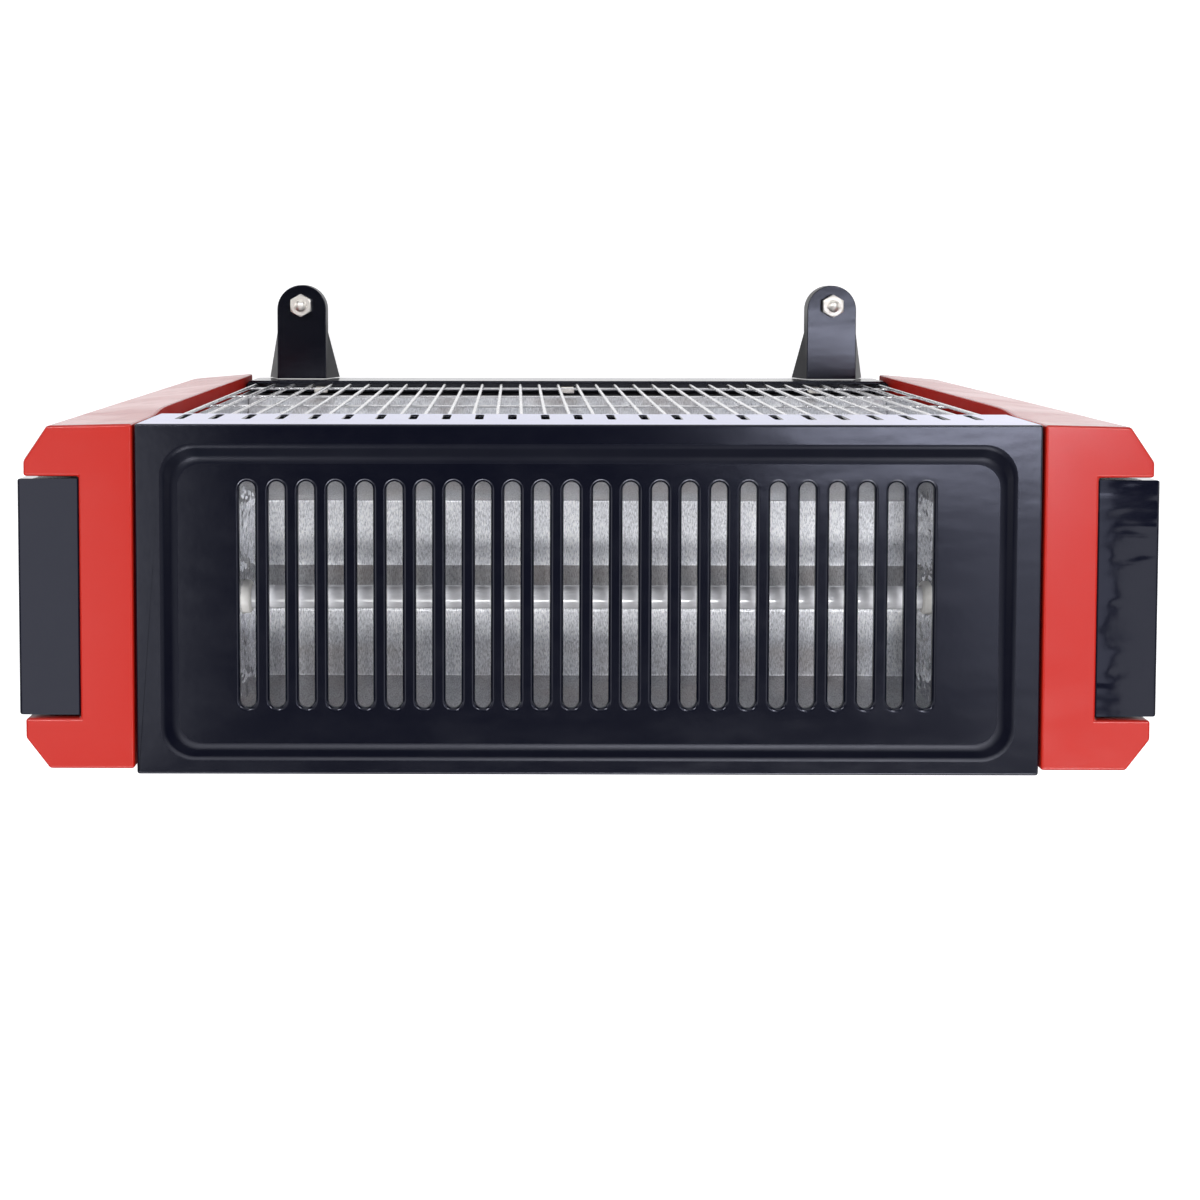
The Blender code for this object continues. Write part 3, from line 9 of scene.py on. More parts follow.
import bmesh
import bpy
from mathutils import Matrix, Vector


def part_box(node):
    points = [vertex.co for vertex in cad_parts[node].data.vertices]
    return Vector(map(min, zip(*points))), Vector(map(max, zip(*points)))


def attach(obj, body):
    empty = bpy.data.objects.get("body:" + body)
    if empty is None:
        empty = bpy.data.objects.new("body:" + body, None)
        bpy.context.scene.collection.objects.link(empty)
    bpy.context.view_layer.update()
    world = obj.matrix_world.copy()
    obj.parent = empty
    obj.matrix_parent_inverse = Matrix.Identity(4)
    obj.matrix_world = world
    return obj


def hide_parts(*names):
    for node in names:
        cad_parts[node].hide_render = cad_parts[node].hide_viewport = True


bl_info = {
    "name": "Quartz heater",
    "version": (1, 0, 0),
    "blender": (4, 5, 0),
    "location": "View3D > Sidebar > Heater",
    "description": "Builds an upright quartz heater, its finishes and a plain studio",
    "category": "Add Mesh",
}

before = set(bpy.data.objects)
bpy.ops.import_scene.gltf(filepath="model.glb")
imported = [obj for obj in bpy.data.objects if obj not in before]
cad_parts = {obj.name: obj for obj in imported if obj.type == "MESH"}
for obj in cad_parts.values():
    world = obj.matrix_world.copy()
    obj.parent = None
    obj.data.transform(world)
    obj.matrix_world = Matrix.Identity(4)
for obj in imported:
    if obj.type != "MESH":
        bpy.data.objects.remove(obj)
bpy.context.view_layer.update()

# Places read from the frame
PANEL_LOW, PANEL_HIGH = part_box("top_panel")
PAN_LOW, PAN_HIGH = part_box("bottom_pan")
COVER_LOW, COVER_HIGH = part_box("rear_cover")
FRONT = PANEL_LOW.y
REAR = PANEL_HIGH.y
HALF_WIDTH = PANEL_HIGH.x
BODY_HEIGHT = 0.325
TOP = PAN_LOW.z + BODY_HEIGHT
SIDES = (("left", 1), ("right", -1))

# Fitting gap, reach of a cutter past a wall, distance within which parts are picked, share of a full round
GAP = 0.0003
PAST = 0.01
CLOSE = 0.001
FULL_ROUND = 0.4995

# Top panel
MARGIN_TOP = TOP - 0.0022
APRON_BOTTOM = PANEL_LOW.z
FIELD_LOW = Vector((-HALF_WIDTH + 0.0097, FRONT + 0.0080))
FIELD_HIGH = Vector((HALF_WIDTH - 0.0097, REAR - 0.0060))
FIELD_BAND = 0.0040
FIELD_CORNER = 0.0105
RIM_RADIUS = 0.0019
PANEL_CORNER = 0.0009
FIELD_ROUND = 0.0017
FLANGE = 0.012
APRON_RETURN = 0.004
APRON_LEAN = 0.0002
APRON_BOW = 0.06
HEM_SEAT = 0.4
SLOT_COUNT = 24
SLOT_PITCH = 0.01032
SLOT_MIDDLE = Vector((0.0007, -0.0021))
SLOT_LENGTH = 0.0797
VENT_COUNT = 25
VENT_PITCH = 0.01207
VENT_MIDDLE = 0.0025
VENT_WIDTH = 0.0032
VENT_LENGTH = 0.0235
VENT_DEPTH = 0.006
VENT_Z = MARGIN_TOP - 0.0348

# Bottom pan and rear cover
PAN_CORNER = 0.003
PAN_STEP = 0.0015
HEM_HEIGHT = 0.005
HEM_DEPTH = 0.0015
HEM_ROUND = 0.0008
LOUVRE_WIDTH = 0.005
PAN_SLOTS = 8
PAN_SLOT_PITCH = 0.020
PAN_SLOT_LENGTH = 0.050
PLUNGER_HOLE = 0.0037
COVER_CORNER = 0.002
COVER_SLOTS = 10
COVER_SLOT_PITCH = 0.024
COVER_ROWS = (0.085, 0.265)
COVER_SLOT_LENGTH = 0.042
BUSH_HOLE = 0.0073
SCREW_INSET = 0.010
SCREW_ROWS = (0.034, 0.172, 0.312)
SCREW_PROFILE = ((0, 0), (0.0032, 0), (0.0032, 0.0008), (0.0028, 0.0014), (0.0018, 0.0018), (0, 0.0019))
RECESS_REACH = (0.0016, 0.0004)
RECESS_DEPTH = (0.0011, 0.0030)

# Side caps and grips
CAP_SHOULDER = 0.0084
CAP_FRONT_CHAMFER = 0.0124
CAP_REAR_CHAMFER = 0.0110
CAP_FRONT_SETBACK = 0.0007
CAP_RAMP_TOP = 0.044
CAP_RAMP = 0.020
CAP_RAMP_ROUND = 0.008
CAP_FOOT_ROUND = 0.004
CAP_SOLID = 0.016
CAP_WALL = 0.0025
NOTCH_GAP = 0.0010
GRIP_ROUND = 0.0013
GRIP_BACK_ROUND = 0.0006
POCKET_Z = TOP - 0.070
POCKET_SIZE = (0.013, 0.054, 0.026)
POCKET_CORNER = 0.006
POCKET_FLOOR = 0.003
SWITCH_BAY = (0.0046, 0.022, 0.102)
BAY_CORNER = 0.003
BEZEL_COVER = (0.0009, 0.0015)

# Switches, about the rocker's pivot
BEZEL_RISE = 0.0018
BEZEL_CORNER = 0.0014
BEZEL_ROUND = 0.0006
BODY_STEP = 0.0012
BODY_STEP_Z = 0.0018
WELL_HALF = (0.0058, 0.0093)
WELL_DEEP = 0.0080
PIVOT_DEEP = 0.0020
PIN_RADIUS = 0.0011
PIN_REACH = 0.0003
PIN_HOLE_REACH = 0.0010
ROCKER_TILT = math.radians(9)
ROCKER_HALF_WIDTH = 0.0055
ROCKER_ROUND = 0.0005
ROCKER_OUTLINE = (
    (0.0046, -0.0080),
    (0.0040, -0.0052),
    (0.0035, -0.0022),
    (0.0034, 0.0),
    (0.0035, 0.0022),
    (0.0040, 0.0052),
    (0.0046, 0.0080),
    (-0.0010, 0.0080),
    (-0.0038, 0.0032),
    (-0.0038, -0.0032),
    (-0.0010, -0.0080),
)
TIP_CASE_FOOT = 0.005
TIP_CASE_STEP = 0.0012
TIP_BORE = 0.0033
TIP_BORE_Z = 0.02
TIP_BORE_LENGTH = 0.018
PLUNGER_STEM = 0.003

# Electrical fittings
BUSH_BORE = 0.0036
BUSH_NECK = 0.007
BUSH_RIBS = 5
TERMINALS = 3
TERMINAL_CHAMFER = 0.0045
TERMINAL_HOLE = 0.002
TERMINAL_HOLE_LENGTH = 0.012
TERMINAL_GROOVE = 0.0005
TERMINAL_DROP = 0.0016

# Guard
GUARD_WIRES = 34
GUARD_PITCH = 0.0093
CROSS_WIRES = 4
CROSS_PITCH = 0.066
CROSS_RATIO = 0.8
CROSS_RISE = 0.011
GUARD_FOOT = 0.010
GUARD_FOOT_STEPS = (0.0001, 0.0007)
GUARD_Y = FRONT + 0.0019
CROSS_Y = FRONT + 0.0034
HOOK_SHEET = 0.0008
HOOK_BEND = 0.0004
HOOK_SEAT = 0.0005
HOOK_STEP = (0.013, 0.0145)

# Reflectors
TROUGH_FLOOR = TOP - 0.041
TROUGH_FRONT = -0.0312
TROUGH_REAR = 0.0345
TROUGH_RIM_FRONT = -0.0438
TROUGH_RIM_REAR = 0.0410
TROUGH_LIP = 0.006
TROUGH_SHEET = 0.0007
TROUGH_BEND = 0.0008
WALL_SHEET = 0.0006
WALL_FOOT = 0.1188
WALL_HEAD = 0.1249
WALL_LIP = 0.0077
WALL_HOLE = 0.0062
RIDGE_HALF = 0.0084
RIDGE_RISE = 0.0046
FRONT_TROUGH_Y = -0.014
FRONT_LIP_Y = -0.0545
FRONT_RIDGE_Y = -0.036
FRONT_SHOULDER_Y = -0.023
FRONT_HALF_FLAT = 0.024
FRONT_SHOULDER = 0.018
FRONT_LIP_LOW = 0.022
FRONT_LIP_HIGH = 0.0445
FRONT_SHEET = 0.0008
FRONT_BEND = 0.0012

# Tubes and their ceramic ends
TUBE_WALL = 0.0011
CERAMIC_RADIUS = 0.0119 / 2
CERAMIC_SEATS = {"upper": 0.0161, "lower": 0.0161, "top": 0.0063}
CERAMIC_COLLAR = 0.0028
CERAMIC_CHAMFER = 0.0007
CERAMIC_PLAY = 0.0002
CERAMIC_SOCKET = 0.0065
LEAD_HOLE = 0.0018

# Legs and feet
LEG_WIDTH = 0.0244
LEG_STRAIGHT = 0.34
LEG_NOSE_WALL = 0.012
LEG_ROUND = 0.0018
LEG_SHEET = 0.0012
FOOT_NECK = 0.0083
NUT_CONE = (0.0060, 0.0046)
HEXAGON = 1.732

# Camera of the photograph
CAMERA_PLACE = (0.0254, -0.1136, 1.0300)
CAMERA_TURN = (-3.066, 0.213, -179.929)
CAMERA_LENS = 60.0
CAMERA_SHIFT = (0.0762, -0.1803)


class HeaterSizes(bpy.types.PropertyGroup):
    """Sizes that can be changed without moving a piece off its seat."""

    sheet: bpy.props.FloatProperty(
        name="Sheet", description="Thickness of the folded steel", default=0.0008, unit="LENGTH"
    )
    slot_width: bpy.props.FloatProperty(
        name="Slot width", description="Opening of a warm-air slot", default=0.0055, unit="LENGTH"
    )
    collar_width: bpy.props.FloatProperty(
        name="Collar", description="Width of the rolled collar round a slot", default=0.00125, unit="LENGTH"
    )
    collar_depth: bpy.props.FloatProperty(
        name="Collar depth", description="How far a collar is drawn down", default=0.0025, unit="LENGTH"
    )
    wire: bpy.props.FloatProperty(
        name="Guard wire", description="Diameter of the guard's wires", default=0.0014, unit="LENGTH"
    )
    moulding_edge: bpy.props.FloatProperty(
        name="Moulding edge", description="Round on the side caps' edges", default=0.0010, unit="LENGTH"
    )


class HeaterFinishes(bpy.types.PropertyGroup):
    """Colours of the finishes."""

    enamel: bpy.props.FloatVectorProperty(
        name="Enamel", description="Blue-black enamel", subtype="COLOR", default=(0.0011, 0.0015, 0.0060)
    )
    caps: bpy.props.FloatVectorProperty(
        name="Side caps", description="Red moulding", subtype="COLOR", default=(0.47, 0.015, 0.008)
    )
    grips: bpy.props.FloatVectorProperty(
        name="Grips", description="Black moulding", subtype="COLOR", default=(0.0030, 0.0036, 0.0100)
    )
    steel: bpy.props.FloatVectorProperty(
        name="Bare sheet", description="Galvanised sheet", subtype="COLOR", default=(0.93, 0.94, 0.98)
    )
    wire: bpy.props.FloatVectorProperty(
        name="Wire", description="Plated guard wire", subtype="COLOR", default=(0.70, 0.70, 0.71)
    )
    tube: bpy.props.FloatVectorProperty(
        name="Tube", description="Milky quartz", subtype="COLOR", default=(0.96, 0.96, 1.0)
    )


# Selecting and modelling


def near(a, b, within=2e-5):
    return abs(a - b) < within


def middle(part):
    """Centre of a face, edge or vertex."""
    if isinstance(part, bmesh.types.BMVert):
        return part.co
    if isinstance(part, bmesh.types.BMEdge):
        return (part.verts[0].co + part.verts[1].co) / 2
    return part.calc_center_median()

def centre_of(node):
    low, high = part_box(node)
    return (low + high) / 2


def runs_along(edge, axis):
    step = edge.verts[1].co - edge.verts[0].co
    return step.length > 0 and abs(step[axis]) > 0.999 * step.length


def make_active(obj):
    bpy.ops.object.select_all(action="DESELECT")
    obj.select_set(True)
    bpy.context.view_layer.objects.active = obj


@contextmanager
def editing(obj):
    make_active(obj)
    bpy.ops.object.mode_set(mode="EDIT")
    yield
    bpy.ops.object.mode_set(mode="OBJECT")


def pick(kind, test):
    """In edit mode, selects the faces, edges or vertices that pass a test."""
    bpy.ops.mesh.select_mode(type=kind)
    bpy.ops.mesh.select_all(action="DESELECT")
    mesh = bpy.context.edit_object.data
    work = bmesh.from_edit_mesh(mesh)
    parts = {"FACE": work.faces, "EDGE": work.edges, "VERT": work.verts}[kind]
    for part in parts:
        if test(part):
            part.select_set(True)
    work.select_flush_mode()
    bmesh.update_edit_mesh(mesh)


def settle(name):
    """Names the active object and puts its place into its mesh."""
    obj = bpy.context.object
    obj.name = name
    obj.data.name = name
    make_active(obj)
    bpy.ops.object.transform_apply(location=True, rotation=True, scale=True)
    return obj


def add_box(name, low, high):
    low, high = Vector(low), Vector(high)
    bpy.ops.object.select_all(action="DESELECT")
    bpy.ops.mesh.primitive_cube_add(size=1, location=(low + high) / 2, scale=high - low)
    return settle(name)


def add_rod(name, centre, radius, depth, sides, axis="Z"):
    turn = {"X": (0, math.pi / 2, 0), "Y": (math.pi / 2, 0, 0), "Z": (0, 0, 0)}[axis]
    bpy.ops.object.select_all(action="DESELECT")
    bpy.ops.mesh.primitive_cylinder_add(
        vertices=sides, radius=radius, depth=depth, location=centre, rotation=turn
    )
    return settle(name)


def bevel(obj, test, width, segments, clamp=True):
    with editing(obj):
        pick("EDGE", test)
        bpy.ops.mesh.bevel(offset=width, segments=segments, affect="EDGES", clamp_overlap=clamp)


def slice_through(point, normal, clear=False):
    """In edit mode, cuts the mesh with a plane, and takes off and caps the side that the normal points to."""
    bpy.ops.mesh.select_all(action="SELECT")
    plane = {"plane_co": point, "plane_no": Vector(normal).normalized(), "threshold": 1e-6}
    bpy.ops.mesh.bisect(clear_outer=clear, use_fill=clear, **plane)


def modify(obj, kind, **settings):
    make_active(obj)
    step = obj.modifiers.new(kind.title(), kind)
    for key, value in settings.items():
        setattr(step, key, value)
    bpy.ops.object.modifier_apply(modifier=step.name)


def combine(obj, other, operation):
    modify(obj, "BOOLEAN", object=other, operation=operation, solver="EXACT")
    bpy.data.objects.remove(other)


def cut(obj, *others):
    for other in others:
        combine(obj, other, "DIFFERENCE")


def cut_box(obj, low, high):
    cut(obj, add_box("cutter", low, high))


def array(obj, count, step):
    offset = {"use_relative_offset": False, "use_constant_offset": True, "constant_offset_displace": step}
    modify(obj, "ARRAY", count=count, **offset)


def round_edges(obj, width, segments, angle):
    limit = {"limit_method": "ANGLE", "angle_limit": math.radians(angle)}
    modify(obj, "BEVEL", width=width, segments=segments, **limit)


def copy_of(obj, name):
    twin = obj.copy()
    twin.data = obj.data.copy()
    twin.name = name
    twin.data.name = name
    bpy.context.collection.objects.link(twin)
    return twin


def mirror_over(obj, axis):
    """Turns a piece into its mirror image across the plane through the origin."""
    make_active(obj)
    scale = [1.0, 1.0, 1.0]
    scale[axis] = -1.0
    obj.scale = scale
    bpy.ops.object.transform_apply(location=False, rotation=False, scale=True)
    with editing(obj):
        bpy.ops.mesh.select_all(action="SELECT")
        bpy.ops.mesh.normals_make_consistent(inside=False)


def join(objs, name):
    make_active(objs[0])
    for obj in objs[1:]:
        obj.select_set(True)
    bpy.ops.object.join()
    return settle(name)


def smooth(obj, angle, flat_faces=True):
    """Smooth shading that keeps sharp edges and lets the large faces stay flat."""
    make_active(obj)
    bpy.ops.object.shade_smooth_by_angle(angle=math.radians(angle))
    if flat_faces:
        modify(obj, "WEIGHTED_NORMAL", keep_sharp=True, mode="FACE_AREA", weight=100)


def add_stadium(centre, size, corner_segments, axis=2):
    """A block with full round ends. Its size is (width, length, depth) with the depth along an axis."""
    centre, size = Vector(centre), Vector(size)
    block = add_box("block", centre - size / 2, centre + size / 2)
    across = min(size[i] for i in range(3) if i != axis)
    bevel(block, lambda e: runs_along(e, axis), FULL_ROUND * across, corner_segments)
    return block


def stadium_row(count, pitch, centre, size, corner_segments, axis=2):
    """Blocks with full round ends in a row along X, about a centre."""
    x, y, z = centre
    blocks = add_stadium((x - (count - 1) / 2 * pitch, y, z), size, corner_segments, axis)
    array(blocks, count, (pitch, 0, 0))
    return blocks


def fold_sheet(name, line, low_x, high_x, thickness, bend, outwards):
    """Sheet folded along a line of (y, z) points, extruded fold by fold from its first edge."""
    bpy.ops.object.select_all(action="DESELECT")
    start = Vector(((low_x + high_x) / 2, line[0][0], line[0][1]))
    bpy.ops.mesh.primitive_plane_add(size=1, location=start)
    sheet = bpy.context.object
    sheet.scale.x = high_x - low_x
    with editing(sheet):
        pick("VERT", lambda v: v.co.y > 0)
        bpy.ops.mesh.delete(type="VERT")
        pick("VERT", lambda v: True)
        bpy.ops.transform.translate(value=(0, 0.5, 0))
        for here, there in zip(line, line[1:]):
            move = (0, there[0] - here[0], there[1] - here[1])
            bpy.ops.mesh.extrude_region_move(TRANSFORM_OT_translate={"value": move})
        bpy.ops.mesh.select_all(action="SELECT")
        bpy.ops.mesh.normals_make_consistent(inside=False)
    sheet = settle(name)
    round_edges(sheet, bend, 4, 8)
    modify(sheet, "SOLIDIFY", thickness=thickness, offset=outwards)
    return sheet


@contextmanager
def drawing(points):
    """A vertex extruded from point to point. What is made of the line in edit mode gets outward normals."""
    bpy.ops.object.select_all(action="DESELECT")
    bpy.ops.mesh.primitive_plane_add(size=1)
    with editing(bpy.context.object):
        bpy.ops.mesh.select_mode(type="VERT")
        bpy.ops.mesh.select_all(action="SELECT")
        bpy.ops.mesh.merge(type="CENTER")
        bpy.ops.transform.translate(value=points[0])
        for here, there in zip(points, points[1:]):
            move = [b - a for a, b in zip(here, there)]
            bpy.ops.mesh.extrude_region_move(TRANSFORM_OT_translate={"value": move})
        bpy.ops.mesh.select_all(action="SELECT")
        yield
        bpy.ops.mesh.select_all(action="SELECT")
        bpy.ops.mesh.normals_make_consistent(inside=False)


def turned(name, profile, centre, axis, steps):
    """A profile of (radius, along) points spun round an axis."""
    with drawing([(radius, 0, along) for radius, along in profile]):
        bpy.ops.mesh.spin(steps=steps, angle=2 * math.pi, center=(0, 0, 0), axis=(0, 0, 1))
        bpy.ops.mesh.select_all(action="SELECT")
        bpy.ops.mesh.remove_doubles(threshold=1e-6)
    piece = bpy.context.object
    piece.rotation_euler = {"X": (0, math.pi / 2, 0), "Y": (-math.pi / 2, 0, 0), "Z": (0, 0, 0)}[axis]
    piece.location = centre
    return settle(name)


def extruded(name, outline, low_y, high_y):
    """An outline of (x, z) points, closed to a face and extruded along Y."""
    with drawing([(x, low_y, z) for x, z in outline]):
        bpy.ops.mesh.edge_face_add()
        bpy.ops.mesh.extrude_region_move(TRANSFORM_OT_translate={"value": (0, high_y - low_y, 0)})
    return settle(name)


def place(obj, node, finish, body="heater"):
    """Rides on a body, stands for a CAD node and takes its finish."""
    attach(obj, body)
    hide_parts(node)
    obj.data.materials.clear()
    obj.data.materials.append(bpy.data.materials[finish])


def repaint(obj, finish, test):
    """Gives the faces that pass a test a finish of their own."""
    obj.data.materials.append(bpy.data.materials[finish])
    with editing(obj):
        pick("FACE", test)
        obj.active_material_index = len(obj.data.materials) - 1
        bpy.ops.object.material_slot_assign()


def row(count, pitch, centre):
    return [centre + (i - (count - 1) / 2) * pitch for i in range(count)]


# Shader nodes


class Nodes:
    """Adds nodes to one tree. An input is given a value or the socket that feeds it."""

    def __init__(self, tree):
        self.tree = tree

    def add(self, kind, inputs=None, **settings):
        node = self.tree.nodes.new(kind)
        for key, value in settings.items():
            setattr(node, key, value)
        for key, value in (inputs or {}).items():
            self.feed(node.inputs[key], value)
        return node

    def feed(self, socket, value):
        if isinstance(value, bpy.types.NodeSocket):
            self.tree.links.new(value, socket)
        else:
            socket.default_value = value

    def math(self, operation, first, second=0.0, clamp=False):
        node = self.add("ShaderNodeMath", {0: first, 1: second}, operation=operation, use_clamp=clamp)
        return node.outputs[0]

    def blend(self, amount, first, second, how="MIX"):
        node = self.add("ShaderNodeMix", {0: amount, 6: first, 7: second}, data_type="RGBA", blend_type=how)
        return node.outputs[2]

    def ramp(self, value, low, high, start=0.0, end=1.0):
        """The value mapped from low and high to start and end, held at both."""
        settings = {0: value, 1: low, 2: high, 3: start, 4: end}
        return self.add("ShaderNodeMapRange", settings).outputs[0]

    def noise(self, where, scale, detail=2.0, roughness=0.5):
        settings = {"Vector": where, "Scale": scale, "Detail": detail, "Roughness": roughness}
        return self.add("ShaderNodeTexNoise", settings).outputs[0]

    def stretched(self, scale):
        where = self.add("ShaderNodeTexCoord").outputs["Object"]
        return self.add("ShaderNodeMapping", {"Vector": where, "Scale": scale}).outputs[0]


def new_group(name, inputs, outputs):
    group = bpy.data.node_groups.new(name, "ShaderNodeTree")
    for label, default in inputs.items():
        socket = group.interface.new_socket(label, in_out="INPUT", socket_type="NodeSocketFloat")
        socket.default_value = default
    for label in outputs:
        group.interface.new_socket(label, in_out="OUTPUT", socket_type="NodeSocketFloat")
    nodes = Nodes(group)
    return nodes, nodes.add("NodeGroupInput").outputs, nodes.add("NodeGroupOutput").inputs


def make_coat_group():
    """The faint ripple of a sprayed or moulded skin, with handling marks in its gloss."""
    nodes, given, out = new_group(
        "skin_ripple",
        {"Ripple Scale": 300.0, "Ripple Depth": 0.000006, "Wave Depth": 0.0, "Mark Scale": 30.0},
        ("Height", "Marks"),
    )
    where = nodes.stretched((1, 1, 1))
    ripple = nodes.noise(where, given["Ripple Scale"], 1.0, 0.4)
    ripple = nodes.math("MULTIPLY", ripple, given["Ripple Depth"])
    wave = nodes.noise(nodes.stretched((0.35, 1, 1)), 150.0, 1.0, 0.4)
    smear = nodes.noise(nodes.stretched((1, 2.4, 1)), given["Mark Scale"], 4.0, 0.62)
    nodes.feed(out["Height"], nodes.math("ADD", ripple, nodes.math("MULTIPLY", wave, given["Wave Depth"])))
    nodes.feed(out["Marks"], nodes.ramp(smear, 0.42, 0.68))


def make_dust_group():
    """Dust that settles on faces that look up, thin and uneven."""
    nodes, given, out = new_group("settled_dust", {"Amount": 0.1, "Scale": 120.0}, ("Dust",))
    normal = nodes.add("ShaderNodeNewGeometry").outputs["Normal"]
    up = nodes.add("ShaderNodeSeparateXYZ", {0: normal}).outputs["Z"]
    specks = nodes.noise(nodes.stretched((1, 1, 1)), given["Scale"], 5.0, 0.7)
    lying = nodes.math("MULTIPLY", nodes.ramp(up, 0.3, 0.95), nodes.ramp(specks, 0.45, 0.75))
    nodes.feed(out["Dust"], nodes.math("MULTIPLY", lying, given["Amount"], clamp=True))


def make_sheet_group():
    """Grain of galvanised sheet: zinc crystals, rolling streaks, pits and broad cloudy patches."""
    outputs = ("Crystals", "Streaks", "Pits", "Cloud", "Stain")
    nodes, given, out = new_group("zinc_sheet", {"Crystal Scale": 700.0, "Streak Scale": 3200.0}, outputs)
    where = nodes.stretched((1, 1, 1))
    warp = nodes.add("ShaderNodeTexNoise", {"Vector": where, "Scale": 400.0, "Detail": 2.0}).outputs["Color"]
    push = nodes.add("ShaderNodeVectorMath", {0: warp, 1: (0.0016,) * 3}, operation="MULTIPLY").outputs[0]
    bent = nodes.add("ShaderNodeVectorMath", {0: where, 1: push}, operation="ADD").outputs[0]
    cells = nodes.add("ShaderNodeTexVoronoi", {"Vector": bent, "Scale": given["Crystal Scale"]})
    grey = nodes.add("ShaderNodeSeparateColor", {0: cells.outputs["Color"]}).outputs[0]
    nodes.feed(out["Crystals"], grey)
    nodes.feed(out["Streaks"], nodes.noise(nodes.stretched((1, 0.22, 0.22)), given["Streak Scale"], 2.0, 0.6))
    nodes.feed(out["Pits"], nodes.ramp(nodes.noise(where, 1500.0, 2.0, 0.6), 0.60, 0.72))
    nodes.feed(out["Cloud"], nodes.noise(where, 42.0, 3.0, 0.55))
    nodes.feed(out["Stain"], nodes.ramp(nodes.noise(where, 30.0, 4.0, 0.6), 0.42, 0.66))


def use_group(nodes, name, **inputs):
    node = nodes.add("ShaderNodeGroup", node_tree=bpy.data.node_groups[name])
    for key, value in inputs.items():
        nodes.feed(node.inputs[key.replace("_", " ").title()], value)
    return node.outputs


def new_finish(name, colour, roughness, metallic=0.0, **shader_values):
    """A material with a Principled shader, and the helper that adds its nodes."""
    made = bpy.data.materials.new(name)
    made.use_nodes = True
    shader = made.node_tree.nodes["Principled BSDF"]
    shader.inputs["Base Color"].default_value = (*colour, 1.0)
    shader.inputs["Roughness"].default_value = roughness
    shader.inputs["Metallic"].default_value = metallic
    for key, value in shader_values.items():
        shader.inputs[key.replace("_", " ")].default_value = value
    return Nodes(made.node_tree), shader.inputs


def add_bump(nodes, shader, height, distance):
    settings = {"Height": height, "Distance": distance}
    nodes.feed(shader["Normal"], nodes.add("ShaderNodeBump", settings).outputs[0])


def make_skin_finish(name, colour, roughness, ripple, depth, marks, dust, wave, sheen, index=1.5, coat=0.0):
    """Enamel or moulded plastic: ripple, handling marks and a little dust."""
    settings = {"Specular_Tint": sheen, "IOR": index, "Coat_Weight": coat, "Coat_Tint": sheen}
    nodes, shader = new_finish(name, colour, roughness, **settings)
    skin = use_group(nodes, "skin_ripple", ripple_scale=ripple, ripple_depth=depth, wave_depth=wave)
    lying = use_group(nodes, "settled_dust", amount=dust)["Dust"]
    nodes.feed(shader["Base Color"], nodes.blend(lying, (*colour, 1.0), (0.30, 0.30, 0.32, 1.0)))
    worn = nodes.math("MULTIPLY", skin["Marks"], marks)
    nodes.feed(shader["Roughness"], nodes.math("ADD", nodes.math("ADD", worn, roughness), lying, clamp=True))
    add_bump(nodes, shader, skin["Height"], 1.0)


def make_sheet_finish(name, colour, roughness, stain, stained_past=None, crumple=0.0):
    """Galvanised sheet. The heat stain can begin past a place along Y, and the sheet can be crumpled."""
    nodes, shader = new_finish(name, colour, roughness, metallic=1.0)
    zinc = use_group(nodes, "zinc_sheet")
    level = nodes.ramp(zinc["Crystals"], 0.0, 1.0, 0.93, 1.0)
    level = nodes.math("MULTIPLY", level, nodes.ramp(zinc["Streaks"], 0.34, 0.62, 0.66, 1.16))
    level = nodes.math("MULTIPLY", level, nodes.ramp(zinc["Pits"], 0.0, 1.0, 1.0, 0.62))
    level = nodes.math("MULTIPLY", level, nodes.ramp(zinc["Cloud"], 0.35, 0.65, 0.90, 1.08))
    grey = nodes.add("ShaderNodeCombineColor", {0: level, 1: level, 2: level}).outputs[0]
    plain = nodes.blend(1.0, (*colour, 1.0), grey, "MULTIPLY")
    heat = nodes.math("MULTIPLY", zinc["Stain"], stain)
    where = nodes.stretched((1, 1, 1))
    if stained_past is not None:
        along = nodes.add("ShaderNodeSeparateXYZ", {0: where}).outputs["Y"]
        heat = nodes.math("MULTIPLY", heat, nodes.ramp(along, stained_past, stained_past + 0.004))
    brown = (0.36, 0.27, 0.21, 1.0)
    nodes.feed(shader["Base Color"], nodes.blend(heat, plain, brown))
    dull = nodes.ramp(zinc["Crystals"], 0.0, 1.0, roughness - 0.05, roughness + 0.07)
    nodes.feed(shader["Roughness"], dull)
    height = nodes.math("MULTIPLY", zinc["Streaks"], 0.000012)
    if crumple:
        dents = nodes.math("MULTIPLY", nodes.noise(where, 120.0, 2.0, 0.5), crumple)
        height = nodes.math("ADD", height, dents)
    add_bump(nodes, shader, height, 1.0)


def make_wire_finish(name, colour, roughness, tarnish=0.25):
    """Plated wire and hardware with dull patches."""
    nodes, shader = new_finish(name, colour, roughness, metallic=1.0)
    skin = use_group(nodes, "skin_ripple", ripple_scale=900.0, ripple_depth=0.000015, mark_scale=140.0)
    dull = nodes.math("MULTIPLY", skin["Marks"], tarnish)
    dark = tuple(0.45 * c for c in colour)
    nodes.feed(shader["Base Color"], nodes.blend(dull, (*colour, 1.0), (*dark, 1.0)))
    nodes.feed(shader["Roughness"], nodes.math("ADD", roughness, nodes.math("MULTIPLY", dull, 0.6)))
    add_bump(nodes, shader, skin["Height"], 1.0)


